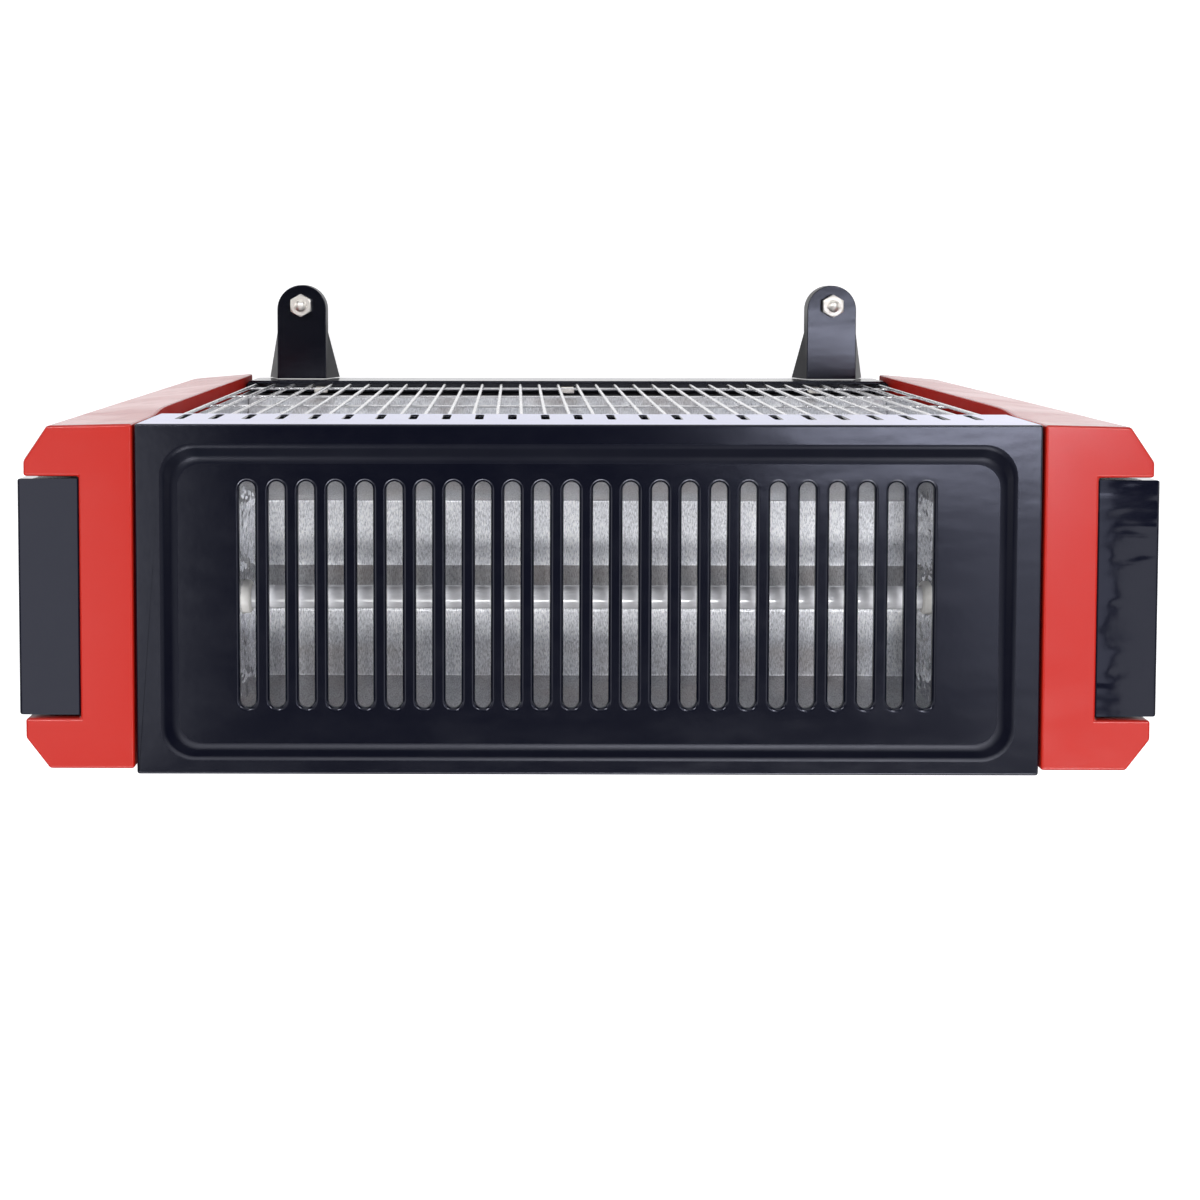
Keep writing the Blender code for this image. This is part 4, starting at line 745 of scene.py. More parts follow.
def make_mineral_finish(name, colour, roughness, scale, depth, stain, **shader_values):
    """Quartz and ceramic: cloudy, with a fine grain."""
    nodes, shader = new_finish(name, colour, roughness, **shader_values)
    where = nodes.stretched((1, 1, 1))
    cloud = nodes.ramp(nodes.noise(where, 60.0, 3.0), 0.35, 0.75, 0.0, stain)
    dark = tuple(0.72 * c for c in colour)
    nodes.feed(shader["Base Color"], nodes.blend(cloud, (*colour, 1.0), (*dark, 1.0)))
    add_bump(nodes, shader, nodes.noise(where, scale, 3.0), depth)


def make_finishes(colours):
    make_coat_group()
    make_dust_group()
    make_sheet_group()
    cool = (0.84, 0.86, 1.0, 1.0)
    lavender = (0.70, 0.72, 1.0, 1.0)
    plain = (1.0, 1.0, 1.0, 1.0)
    enamel, caps, steel = colours.enamel, colours.caps, colours.steel
    # Name, colour, roughness, ripple's scale and depth, marks, dust, wave's depth, sheen, index, coat
    skins = (
        ("blue_black_enamel", enamel, 0.15, 420.0, 0.000008, 0.03, 0.004, 0.00005, cool, 1.56),
        ("apron_enamel", enamel, 0.12, 420.0, 0.000004, 0.03, 0.004, 0.0, lavender, 1.56, 1.0),
        ("leg_enamel", enamel, 0.30, 420.0, 0.000008, 0.05, 0.004, 0.0, cool, 1.12),
        ("pressed_enamel", enamel, 0.30, 420.0, 0.000008, 0.05, 0.004, 0.0, cool, 1.32),
        ("matt_red_moulding", caps, 0.50, 1500.0, 0.000006, 0.06, 0.0, 0.00001, plain, 1.10),
        ("red_moulding", caps, 0.20, 1500.0, 0.000006, 0.06, 0.004, 0.00001, plain),
        ("black_moulding", colours.grips, 0.05, 220.0, 0.000010, 0.03, 0.004, 0.00016, cool),
        ("switch_moulding", (0.012, 0.012, 0.013), 0.34, 2500.0, 0.00001, 0.10, 0.02, 0.0, plain),
        ("rocker_moulding", (0.008, 0.008, 0.009), 0.20, 1800.0, 0.000006, 0.08, 0.01, 0.0, plain),
        ("phenolic_moulding", (0.045, 0.030, 0.022), 0.45, 1200.0, 0.00002, 0.15, 0.05, 0.0, plain),
        ("foot_rubber", (0.016, 0.016, 0.017), 0.72, 1800.0, 0.00004, 0.10, 0.10, 0.0, plain),
    )
    for skin in skins:
        make_skin_finish(*skin)
    # Name, colour, roughness, heat stain, where the stain begins, crumple
    sheets = (
        ("galvanised_sheet", steel, 0.38, 0.05),
        ("trough_sheet", steel, 0.50, 0.34, 0.021),
        # The next row is a darker copy of the bare sheet, at 0.46 of its colour: painted shade for the top
        # trough's wings and the ridge's front facet
        ("painted_shade_sheet", [0.46 * c for c in steel], 0.48, 0.25),
        ("crumpled_sheet", steel, 0.10, 0.0, None, 0.0040),
        ("heat_stained_sheet", steel, 0.34, 0.35),
    )
    for sheet in sheets:
        make_sheet_finish(*sheet)
    # Name, colour, roughness, tarnish
    wires = (
        ("plated_wire", colours.wire, 0.24),
        ("nickel_plate", (0.90, 0.86, 0.80), 0.34, 0.20),
        ("coil_wire", (0.22, 0.19, 0.17), 0.45, 0.60),
    )
    for wire in wires:
        make_wire_finish(*wire)
    gloss = {"Coat_Weight": 1.0, "Coat_Roughness": 0.12, "Coat_IOR": 1.7}
    make_mineral_finish("milky_quartz", colours.tube, 0.30, 500.0, 0.00001, 0.05, **gloss)
    make_mineral_finish("white_ceramic", (0.97, 0.95, 0.91), 0.50, 1800.0, 0.00004, 0.06)


# Pieces


def field_inset(spot):
    """How far a spot lies inside the raised field's outline, and less than zero outside it."""
    return min(FIELD_HIGH.x - abs(spot.x), spot.y - FIELD_LOW.y, FIELD_HIGH.y - spot.y)


def on_rim(edge):
    spot = middle(edge)
    return near(spot.z, MARGIN_TOP) and field_inset(spot) < -0.003 and edge.calc_face_angle(0) > 0.5


def on_foot(edge):
    spot = middle(edge)
    return near(spot.z, MARGIN_TOP) and field_inset(spot) > -CLOSE and edge.calc_face_angle(0) > 0.1


def on_slope(face):
    """True on the slope between the margin and the raised field, with its two rounded edges."""
    spot = middle(face)
    across = -0.002 < field_inset(spot) < FIELD_BAND + FIELD_CORNER / 2
    return across and 0.2 < face.normal.z < 0.9995 and spot.z > MARGIN_TOP - 0.0002


def on_apron(face):
    return face.normal.y < -0.98 and middle(face).y < FRONT + GAP


def raised_field(sheet):
    """The field's block, drawn in towards its top and out towards its foot."""
    field = add_box("field", (*FIELD_LOW, MARGIN_TOP - sheet), (*FIELD_HIGH, TOP))
    bevel(field, lambda e: runs_along(e, 2), FIELD_CORNER, 8)
    span = FIELD_HIGH - FIELD_LOW
    centre = (FIELD_HIGH + FIELD_LOW) / 2
    foot = -sheet / (TOP - MARGIN_TOP) * FIELD_BAND
    for up, inset, z in ((1, FIELD_BAND, TOP), (-1, foot, MARGIN_TOP)):
        with editing(field):
            pick("FACE", lambda f: up * f.normal.z > 0.9)
            scale = ((span.x - 2 * inset) / span.x, (span.y - 2 * inset) / span.y, 1)
            bpy.ops.transform.resize(value=scale, center_override=(centre.x, centre.y, z))
    return field


def build_top_panel(sizes):
    """Folded sheet with a raised field, rolled slot collars and an apron with vents."""
    sheet = sizes.sheet
    panel = add_box("top_panel_pressing", (-HALF_WIDTH, FRONT, APRON_BOTTOM), (HALF_WIDTH, REAR, MARGIN_TOP))
    bevel(panel, lambda e: runs_along(e, 2), PANEL_CORNER, 3)
    combine(panel, raised_field(sheet), "UNION")
    bevel(panel, lambda e: near(middle(e).z, TOP), FIELD_ROUND, 4)
    bevel(panel, on_rim, RIM_RADIUS, 5)
    bevel(panel, on_foot, FIELD_ROUND, 4)
    cut_box(
        panel,
        (-HALF_WIDTH + sheet, FRONT + sheet, APRON_BOTTOM - PAST),
        (HALF_WIDTH - sheet, REAR - sheet, MARGIN_TOP - sheet),
    )
    under_field = add_box(
        "under_field",
        (FIELD_LOW.x + FIELD_BAND, FIELD_LOW.y + FIELD_BAND, MARGIN_TOP - PAST),
        (FIELD_HIGH.x - FIELD_BAND, FIELD_HIGH.y - FIELD_BAND, TOP - sheet),
    )
    bevel(under_field, lambda e: runs_along(e, 2), FIELD_CORNER - FIELD_BAND, 6)
    cut(panel, under_field)
    cut_box(
        panel,
        (-HALF_WIDTH - PAST, FRONT + APRON_RETURN, APRON_BOTTOM - PAST),
        (HALF_WIDTH + PAST, REAR + PAST, MARGIN_TOP - FLANGE),
    )
    hem = add_box(
        "hem",
        (-HALF_WIDTH + APRON_RETURN, FRONT + HEM_SEAT * sheet, APRON_BOTTOM),
        (HALF_WIDTH - APRON_RETURN, FRONT + APRON_RETURN - sheet, APRON_BOTTOM + sheet),
    )
    combine(panel, hem, "UNION")
    with editing(panel):
        pick("VERT", lambda v: v.co.z < APRON_BOTTOM + 0.0001 and v.co.y < FRONT + APRON_RETURN + 0.0001)
        bpy.ops.transform.translate(value=(0, -APRON_LEAN, 0))

    collar = sizes.collar_width + GAP
    collar_z = (TOP - sheet / 2 + TOP - sizes.collar_depth) / 2
    size = (sizes.slot_width + 2 * collar, SLOT_LENGTH + 2 * collar, sizes.collar_depth - sheet / 2)
    combine(panel, stadium_row(SLOT_COUNT, SLOT_PITCH, (*SLOT_MIDDLE, collar_z), size, 5), "UNION")
    size = (sizes.slot_width, SLOT_LENGTH, PAST)
    cut(panel, stadium_row(SLOT_COUNT, SLOT_PITCH, (*SLOT_MIDDLE, TOP), size, 8))
    reach = SLOT_LENGTH / 2 + CLOSE

    def on_collar(edge):
        spot = middle(edge)
        return near(spot.z, TOP) and abs(spot.y - SLOT_MIDDLE.y) < reach and edge.calc_face_angle(0) > 1

    bevel(panel, on_collar, sizes.collar_width, 4, clamp=False)
    size = (VENT_WIDTH, VENT_DEPTH, VENT_LENGTH)
    cut(panel, stadium_row(VENT_COUNT, VENT_PITCH, (VENT_MIDDLE, FRONT, VENT_Z), size, 5, axis=1))
    smooth(panel, 40)
    bow_apron(panel)
    place(panel, "top_panel", "blue_black_enamel")
    repaint(panel, "apron_enamel", on_apron)
    repaint(panel, "pressed_enamel", on_slope)


def bow_apron(panel):
    """Turns the normals of the apron's face a little upwards, as on a fold that springs back."""
    with editing(panel):
        pick("FACE", on_apron)
        panel.vertex_groups.new(name="apron")
        bpy.ops.object.vertex_group_assign()
    bpy.ops.object.empty_add(location=(0, -1, APRON_BOW))
    aim = bpy.context.object
    settings = {"mode": "DIRECTIONAL", "target": aim, "use_direction_parallel": True}
    modify(panel, "NORMAL_EDIT", **settings, no_polynors_fix=True, vertex_group="apron")
    bpy.data.objects.remove(aim)


def build_bottom_pan(sizes):
    """Folded pan with a raised apron, a folded hem and convection slots."""
    low, high = PAN_LOW, PAN_HIGH
    sheet = sizes.sheet
    pan = add_box("bottom_pan_pressing", low, high)
    bevel(pan, lambda e: runs_along(e, 2), PAN_CORNER, 5)
    bevel(pan, lambda e: near(middle(e).z, low.z), RIM_RADIUS, 5)
    cut_box(
        pan,
        (low.x + sheet, low.y + sheet, low.z + sheet),
        (high.x - sheet, high.y - sheet, high.z + PAST),
    )
    cut_box(
        pan,
        (low.x - PAST, low.y + APRON_RETURN, low.z + PAN_STEP + FLANGE),
        (high.x + PAST, high.y + PAST, high.z + PAST),
    )
    hem = add_box(
        "hem",
        (low.x + APRON_RETURN, low.y + HEM_SEAT * sheet, high.z - HEM_HEIGHT),
        (high.x - APRON_RETURN, low.y + HEM_DEPTH, high.z),
    )
    bevel(hem, lambda e: runs_along(e, 0) and middle(e).z > high.z - CLOSE, HEM_ROUND, 4)
    combine(pan, hem, "UNION")
    size = (LOUVRE_WIDTH, PAN_SLOT_LENGTH, PAST)
    cut(pan, stadium_row(PAN_SLOTS, PAN_SLOT_PITCH, (0, 0, low.z), size, 5))
    spot = centre_of("tip_plunger")
    cut(pan, add_rod("hole", (spot.x, spot.y, low.z), PLUNGER_HOLE, PAST, 24))
    smooth(pan, 40)
    place(pan, "bottom_pan", "blue_black_enamel")


def build_rear_cover():
    """Plain cover with two rows of louvre slots, held by pan-head screws."""
    low, high = COVER_LOW, COVER_HIGH
    cover = add_box("rear_cover_sheet", low, high)
    bevel(cover, lambda e: runs_along(e, 1), COVER_CORNER, 4)
    y = (low.y + high.y) / 2
    size = (LOUVRE_WIDTH, PAST, COVER_SLOT_LENGTH)
    for z in COVER_ROWS:
        cut(cover, stadium_row(COVER_SLOTS, COVER_SLOT_PITCH, (0, y, z), size, 5, axis=1))
    spot = centre_of("cord_bush")
    cut(cover, add_rod("hole", (spot.x, y, spot.z), BUSH_HOLE, PAST, 32, "Y"))
    round_edges(cover, 0.0002, 2, 40)
    for x in (low.x + SCREW_INSET, high.x - SCREW_INSET):
        for z in SCREW_ROWS:
            combine(cover, add_screw((x, high.y - GAP, z)), "UNION")
    smooth(cover, 40)
    place(cover, "rear_cover", "blue_black_enamel")
    repaint(cover, "nickel_plate", lambda f: middle(f).y > high.y + 0.0001)


def add_screw(centre):
    """Pan head with a cross recess, facing the rear."""
    screw = turned("screw", SCREW_PROFILE, centre, "Y", 24)
    centre = Vector(centre)
    floor, top = RECESS_DEPTH
    for x, z in (RECESS_REACH, RECESS_REACH[::-1]):
        cut_box(screw, centre + Vector((-x, floor, -z)), centre + Vector((x, top, z)))
    return screw


def build_side_cap(side, sign, sizes):
    """Moulded shell: chamfered corners, a front lip that fades near the top, and the grip's notch."""
    low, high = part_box("side_cap_left")
    grip_low, grip_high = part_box("grip_left")
    cap = add_box(f"side_cap_moulding_{side}", low, high)
    shoulder = high.x - CAP_SHOULDER
    flush = FRONT + CAP_FRONT_SETBACK
    slope = (flush - low.y) / (shoulder - low.x)
    ramp = (high.z - CAP_RAMP_TOP - CAP_RAMP, high.z - CAP_RAMP_TOP)
    with editing(cap):
        pick("VERT", lambda v: v.co.x > high.x - CLOSE and v.co.y < low.y + CLOSE)
        bpy.ops.transform.translate(value=(0, slope * (high.x - low.x), 0))
        front_chamfer = (CAP_FRONT_CHAMFER, -CAP_SHOULDER, 0)
        slice_through((high.x, flush + CAP_FRONT_CHAMFER, 0), front_chamfer, clear=True)
        rear_chamfer = (CAP_REAR_CHAMFER, CAP_SHOULDER, 0)
        slice_through((high.x, high.y - CAP_REAR_CHAMFER, 0), rear_chamfer, clear=True)
        for z in ramp:
            slice_through((0, 0, z), (0, 0, 1))
        pick("VERT", lambda v: v.co.z > ramp[1] - CLOSE and v.co.y < low.y + 0.0005)
        bpy.ops.transform.translate(value=(0, FRONT - low.y, 0))

    def on_ramp_end(edge):
        spot = middle(edge)
        level = near(edge.verts[0].co.z, edge.verts[1].co.z) and spot.y < FRONT + CLOSE
        return (runs_along(edge, 0) or level) and any(near(spot.z, z) for z in ramp)

    bevel(cap, on_ramp_end, CAP_RAMP_ROUND, 5)
    bevel(cap, lambda e: near(middle(e).z, low.z) and middle(e).x > shoulder - CLOSE, CAP_FOOT_ROUND, 4)
    cut_box(
        cap,
        (grip_low.x - GAP, grip_low.y - NOTCH_GAP, low.z - PAST),
        (high.x + PAST, grip_high.y + NOTCH_GAP, high.z + PAST),
    )
    round_edges(cap, sizes.moulding_edge, 3, 24)
    cut_box(
        cap,
        (low.x - PAST, FRONT + CAP_SOLID, low.z + CAP_SOLID),
        (grip_low.x - GAP - CAP_WALL, high.y - CAP_SOLID, high.z - CAP_SOLID),
    )
    if sign < 0:
        mirror_over(cap, 0)
    smooth(cap, 35)
    place(cap, f"side_cap_{side}", "red_moulding")
    repaint(cap, "matt_red_moulding", lambda f: abs(f.normal.x) > 0.9 and near(abs(middle(f).x), low.x, 1e-4))


def build_grip(side, sign):
    """Glossy strip with a finger pocket, and on the right side a bay for the switches."""
    low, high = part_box("grip_left")
    grip = add_box(f"grip_strip_{side}", low, high)
    bevel(grip, lambda e: middle(e).x > high.x - CLOSE, GRIP_ROUND, 4)
    bevel(grip, lambda e: middle(e).x < low.x + CLOSE and not runs_along(e, 0), GRIP_BACK_ROUND, 2)
    y = centre_of("grip_left").y

    def recess(z, size, corner, segments):
        deep, width, height = size
        block = add_box(
            "recess",
            (high.x - deep, y - width / 2, z - height / 2),
            (high.x + PAST, y + width / 2, z + height / 2),
        )
        bevel(block, lambda e: runs_along(e, 0), corner, segments)
        return block

    pocket = recess(POCKET_Z, POCKET_SIZE, POCKET_CORNER, 6)
    bevel(pocket, lambda e: near(middle(e).x, high.x - POCKET_SIZE[0]), POCKET_FLOOR, 4)
    cut(grip, pocket)
    if side == "right":
        housings = [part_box(f"switch_housing_{i}") for i in (1, 2, 3)]
        bay_z = sum((a.z + b.z) / 2 for a, b in housings) / len(housings)
        cut(grip, recess(bay_z, SWITCH_BAY, BAY_CORNER, 4))
        side_cover, end_cover = BEZEL_COVER
        for a, b in housings:
            cut_box(
                grip,
                (low.x - PAST, a.y + side_cover, a.z + end_cover),
                (high.x, b.y - side_cover, b.z - end_cover),
            )
    if sign < 0:
        mirror_over(grip, 0)
    smooth(grip, 35)
    place(grip, f"grip_{side}", "black_moulding")


def build_guard(sizes):
    """Upright wires welded to four cross wires, with the lower ends bent in behind the apron."""
    low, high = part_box("wire_guard")
    radius = sizes.wire / 2
    first = -(GUARD_WIRES - 1) / 2 * GUARD_PITCH
    top = APRON_BOTTOM - GAP
    straight = top - low.z - GUARD_FOOT
    wire = add_rod("wire", (first, GUARD_Y, top - straight / 2), radius, straight, 12)
    with editing(wire):
        pick("FACE", lambda f: f.normal.z < -0.9)
        for inwards in GUARD_FOOT_STEPS:
            move = (0, inwards, -0.5 * GUARD_FOOT)
            bpy.ops.mesh.extrude_region_move(TRANSFORM_OT_translate={"value": move})
    array(wire, GUARD_WIRES, (GUARD_PITCH, 0, 0))
    cross = add_rod("cross", (0, CROSS_Y, low.z + CROSS_RISE), CROSS_RATIO * radius, high.x - low.x, 12, "X")
    array(cross, CROSS_WIRES, (0, 0, CROSS_PITCH))
    guard = join([wire, cross], "guard_wires")
    smooth(guard, 50, flat_faces=False)
    place(guard, "wire_guard", "plated_wire")


def build_clips():
    """Bright hooks over the lowest cross wire."""
    for i in (1, 2, 3):
        low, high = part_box(f"guard_clip_{i}")
        seat = low.y + HOOK_SEAT
        line = (
            (seat, low.z),
            (seat, low.z + HOOK_STEP[0]),
            (high.y - HOOK_SEAT, low.z + HOOK_STEP[1]),
            (high.y - HOOK_SEAT, high.z - HOOK_SEAT),
            (seat + 0.0002, high.z - HOOK_SEAT),
        )
        clip = fold_sheet(f"guard_hook_{i}", line, low.x, high.x, HOOK_SHEET, HOOK_BEND, 0.0)
        smooth(clip, 40)
        place(clip, f"guard_clip_{i}", "nickel_plate")


def build_reflectors():
    """Two folded troughs and the top trough's end walls."""
    low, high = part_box("front_reflector")
    heights = [centre_of(f"quartz_tube_{name}").z for name in ("lower", "upper")]
    line = [(FRONT_LIP_Y, FRONT_LIP_LOW), (FRONT_LIP_Y, FRONT_LIP_HIGH)]
    for z in heights:
        line += [
            (FRONT_SHOULDER_Y, z - FRONT_HALF_FLAT - FRONT_SHOULDER),
            (FRONT_TROUGH_Y, z - FRONT_HALF_FLAT),
            (FRONT_TROUGH_Y, z + FRONT_HALF_FLAT),
            (FRONT_SHOULDER_Y, z + FRONT_HALF_FLAT + FRONT_SHOULDER),
        ]
        if z == heights[0]:
            line.append((FRONT_RIDGE_Y, sum(heights) / 2))
    line.append((FRONT_LIP_Y, APRON_BOTTOM))
    trough = fold_sheet("front_trough", line, low.x, high.x, FRONT_SHEET, FRONT_BEND, 1.0)
    smooth(trough, 30)
    place(trough, "front_reflector", "heat_stained_sheet")

    low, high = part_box("top_reflector")
    tube = centre_of("quartz_tube_top")
    rim = high.z - 0.0004
    line = (
        (TROUGH_RIM_FRONT - TROUGH_LIP, rim),
        (TROUGH_RIM_FRONT, rim),
        (TROUGH_FRONT, TROUGH_FLOOR),
        (tube.y - RIDGE_HALF, TROUGH_FLOOR),
        (tube.y, TROUGH_FLOOR + RIDGE_RISE),
        (tube.y + RIDGE_HALF, TROUGH_FLOOR),
        (TROUGH_REAR, TROUGH_FLOOR),
        (TROUGH_RIM_REAR, rim),
        (TROUGH_RIM_REAR + TROUGH_LIP, rim),
    )
    trough = fold_sheet("top_trough", line, low.x - GAP, high.x + GAP, TROUGH_SHEET, TROUGH_BEND, 0.0)
    smooth(trough, 30)
    place(trough, "top_reflector", "trough_sheet")

    # Painted shade: the wings, which look to the front or back, and the ridge's facet in front of the tube
    # take a darker copy of the sheet
    def in_shade(face):
        return abs(face.normal.y) > 0.8 or middle(face).y < tube.y and face.normal.y < -0.3

    repaint(trough, "painted_shade_sheet", in_shade)
    for side, sign in SIDES:
        build_trough_wall(side, sign, rim, tube)


def build_trough_wall(side, sign, rim, tube):
    """Sloping end wall of the top trough, bent out at the top and pierced for the tube."""
    wall = add_box(
        f"trough_end_{side}",
        (WALL_FOOT, TROUGH_FRONT, TROUGH_FLOOR + GAP),
        (WALL_FOOT + WALL_SHEET, TROUGH_REAR, rim),
    )
    with editing(wall):
        pick("VERT", lambda v: v.co.z > rim - CLOSE)
        bpy.ops.transform.translate(value=(WALL_HEAD - WALL_FOOT, 0, 0))
        for here, there in ((TROUGH_FRONT, TROUGH_RIM_FRONT), (TROUGH_REAR, TROUGH_RIM_REAR)):
            pick("VERT", lambda v: v.co.z > rim - CLOSE and near(v.co.y, here))
            bpy.ops.transform.translate(value=(0, there - here, 0))
    lip_low = (WALL_HEAD + 0.5 * WALL_SHEET, TROUGH_RIM_FRONT, rim - WALL_SHEET)
    lip = add_box("lip", lip_low, (WALL_HEAD + WALL_LIP, TROUGH_RIM_REAR, rim))
    combine(wall, lip, "UNION")
    cut(wall, add_rod("hole", (WALL_HEAD, tube.y, tube.z), WALL_HOLE, 3 * PAST, 32, "X"))
    if sign < 0:
        mirror_over(wall, 0)
    smooth(wall, 30)
    place(wall, f"top_wall_{side}", "crumpled_sheet")


def build_elements():
    """Milky tubes with ceramic end caps."""
    for name, seat in CERAMIC_SEATS.items():
        low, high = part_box(f"quartz_tube_{name}")
        radius = (high.z - low.z) / 2
        centre = (low + high) / 2
        half = (high.x - low.x) / 2
        bore = radius - TUBE_WALL
        profile = ((radius, -half), (radius, half), (bore, half), (bore, -half), (radius, -half))
        tube = turned(f"milky_tube_{name}", profile, centre, "X", 32)
        smooth(tube, 40, flat_faces=False)
        place(tube, f"quartz_tube_{name}", "milky_quartz")
        for side, sign in SIDES:
            a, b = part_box(f"ceramic_cap_{name}_{side}")
            inner = a.x if sign > 0 else b.x
            profile = ceramic_profile(radius + CERAMIC_PLAY, seat, (b.z - a.z) / 2, b.x - a.x)
            profile = [(reach, sign * along) for reach, along in profile]
            cap = turned(f"ceramic_end_{name}_{side}", profile, (inner, centre.y, centre.z), "X", 32)
            smooth(cap, 35)
            place(cap, f"ceramic_cap_{name}_{side}", "white_ceramic")


def ceramic_profile(socket, seat, collar, length):
    """Half section of a ceramic end: a body with a collar, a socket for the tube and a hole for its lead."""
    body, chamfer = CERAMIC_RADIUS, CERAMIC_CHAMFER
    return (
        (socket, 0),
        (body - chamfer, 0),
        (body, chamfer),
        (body, seat),
        (collar - chamfer, seat),
        (collar, seat + chamfer),
        (collar, seat + CERAMIC_COLLAR),
        (body, seat + CERAMIC_COLLAR),
        (body, length - chamfer),
        (body - chamfer, length),
        (LEAD_HOLE, length),
        (LEAD_HOLE, CERAMIC_SOCKET),
        (socket, CERAMIC_SOCKET),
        (socket, 0),
    )


def build_legs():
    """Pressed channel brackets with round noses and side walls that splay at the body."""
    low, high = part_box("leg_front_left")
    width = LEG_WIDTH
    centre_x = (low.x + high.x) / 2
    leg = add_box("leg", (centre_x - width / 2, low.y, low.z), (centre_x + width / 2, high.y, high.z))
    bevel(leg, lambda e: runs_along(e, 2) and middle(e).y < low.y + CLOSE, FULL_ROUND * width, 12)
    nose = low.y + width / 2
    half = nose + LEG_STRAIGHT * (high.y - nose)
    nose_drop = high.z - LEG_NOSE_WALL
    with editing(leg):
        slice_through((0, half, 0), (0, 1, 0))
        pick("VERT", lambda v: v.co.z < low.z + CLOSE and v.co.y < half + CLOSE)
        bpy.ops.transform.translate(value=(0, 0, nose_drop - low.z))
        pick("VERT", lambda v: v.co.z < low.z + CLOSE)
        widen = (high.x - low.x) / width
        bpy.ops.transform.resize(value=(widen, 1, 1), center_override=(centre_x, high.y, low.z))
    bevel(leg, lambda e: near(middle(e).z, high.z) and middle(e).y < high.y - 0.0001, LEG_ROUND, 5)
    with editing(leg):
        pick("FACE", lambda f: f.normal.z < -0.7 or f.normal.y > 0.9)
        bpy.ops.mesh.delete(type="FACE")
    modify(leg, "SOLIDIFY", thickness=LEG_SHEET, offset=-1.0)
    round_edges(leg, 0.0002, 2, 50)
    smooth(leg, 30)
    for end, flip in (("front", False), ("rear", True)):
        for side, sign in SIDES:
            made = copy_of(leg, f"leg_bracket_{end}_{side}")
            if sign < 0:
                mirror_over(made, 0)
            if flip:
                mirror_over(made, 1)
            smooth(made, 30)
            place(made, f"leg_{end}_{side}", "blue_black_enamel")
            repaint(made, "leg_enamel", lambda f: abs(f.normal.z) < 0.6)
    bpy.data.objects.remove(leg)


def build_feet():
    """Rubber foot, stud and nut of each bracket."""
    for end in ("front", "rear"):
        for side, _ in SIDES:
            name = f"{end}_{side}"
            low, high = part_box(f"foot_{name}")
            spot = (low + high) / 2
            radius = (high.x - low.x) / 2
            tall = high.z
            profile = (
                (0, 0),
                (radius - 0.0016, 0),
                (radius - 0.0003, 0.0006),
                (radius, 0.0020),
                (FOOT_NECK + 0.0004, 0.5 * tall),
                (FOOT_NECK, 0.9 * tall),
                (FOOT_NECK - 0.0008, tall),
                (0, tall),
            )
            foot = turned(f"rubber_foot_{name}", profile, (spot.x, spot.y, 0), "Z", 36)
            smooth(foot, 35)
            place(foot, f"foot_{name}", "foot_rubber")
            build_nut(name, spot)
            build_stud(name, spot)


def build_nut(name, spot):
    """Hexagonal nut with its upper corners turned off."""
    low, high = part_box(f"nut_{name}")
    centre = (spot.x, spot.y, (low.z + high.z) / 2)
    nut = add_rod(f"hex_nut_{name}", centre, (high.y - low.y) / HEXAGON, high.z - low.z, 6)
    bevel(nut, lambda e: runs_along(e, 2), 0.0002, 2)
    wide, narrow = NUT_CONE
    foot, top = low.z - 0.001, high.z + 0.0001
    profile = ((0, foot), (wide, foot), (wide, high.z - 0.0005), (narrow, top), (0, top))
    combine(nut, turned("cone", profile, (spot.x, spot.y, 0), "Z", 48), "INTERSECT")
    smooth(nut, 20)
    place(nut, f"nut_{name}", "nickel_plate")


def build_stud(name, spot):
    """Stud with a rounded end, that carries the foot."""
    low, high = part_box(f"stud_{name}")
    radius = (high.x - low.x) / 2
    profile = (
        (0, low.z),
        (radius, low.z),
        (radius, high.z - 0.0014),
        (0.86 * radius, high.z - 0.0007),
        (0.55 * radius, high.z - 0.0002),
        (0, high.z),
    )
    stud = turned(f"threaded_stud_{name}", profile, (spot.x, spot.y, 0), "Z", 32)
    smooth(stud, 50)
    place(stud, f"stud_{name}", "nickel_plate")


def build_switches():
    """Rocker switches: a bezel and body with a well, and a dished rocker on two pins, shown off."""
    half_y, half_z = WELL_HALF
    inside = Vector((0, BODY_STEP, BODY_STEP_Z))
    tilt = Vector((math.cos(ROCKER_TILT), math.sin(ROCKER_TILT)))
    for i in (1, 2, 3):
        low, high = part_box(f"switch_housing_{i}")
        spot = (low + high) / 2
        seat = low.x + BEZEL_RISE
        housing = add_box(f"switch_bezel_{i}", low, (seat, high.y, high.z))
        bevel(housing, lambda e: runs_along(e, 0), BEZEL_CORNER, 4)
        bevel(housing, lambda e: near(middle(e).x, low.x), BEZEL_ROUND, 3)
        body = add_box("body", Vector((seat - GAP, low.y, low.z)) + inside, high - inside)
        combine(housing, body, "UNION")
        well = add_box(
            "well",
            (low.x - PAST, spot.y - half_y, spot.z - half_z),
            (seat + WELL_DEEP, spot.y + half_y, spot.z + half_z),
        )
        bevel(well, lambda e: runs_along(e, 0), BEZEL_ROUND, 3)
        cut(housing, well)
        pivot = Vector((seat + PIVOT_DEEP, spot.y, spot.z))
        cut(housing, add_rod("pin_hole", pivot, PIN_RADIUS + GAP, 2 * (half_y + PIN_HOLE_REACH), 16, "Y"))
        smooth(housing, 35)
        place(housing, f"switch_housing_{i}", "switch_moulding")

        outline = []
        for x, z in ROCKER_OUTLINE:
            turned_x = x * tilt.x + z * tilt.y
            turned_z = z * tilt.x - x * tilt.y
            outline.append((pivot.x - turned_x, pivot.z + turned_z))
        rocker = extruded(f"rocker_key_{i}", outline, spot.y - ROCKER_HALF_WIDTH, spot.y + ROCKER_HALF_WIDTH)
        round_edges(rocker, ROCKER_ROUND, 3, 24)
        combine(rocker, add_rod("pins", pivot, PIN_RADIUS, 2 * (half_y + PIN_REACH), 16, "Y"), "UNION")
        smooth(rocker, 35)
        place(rocker, f"rocker_{i}", "rocker_moulding", f"rocker_body_{i}")


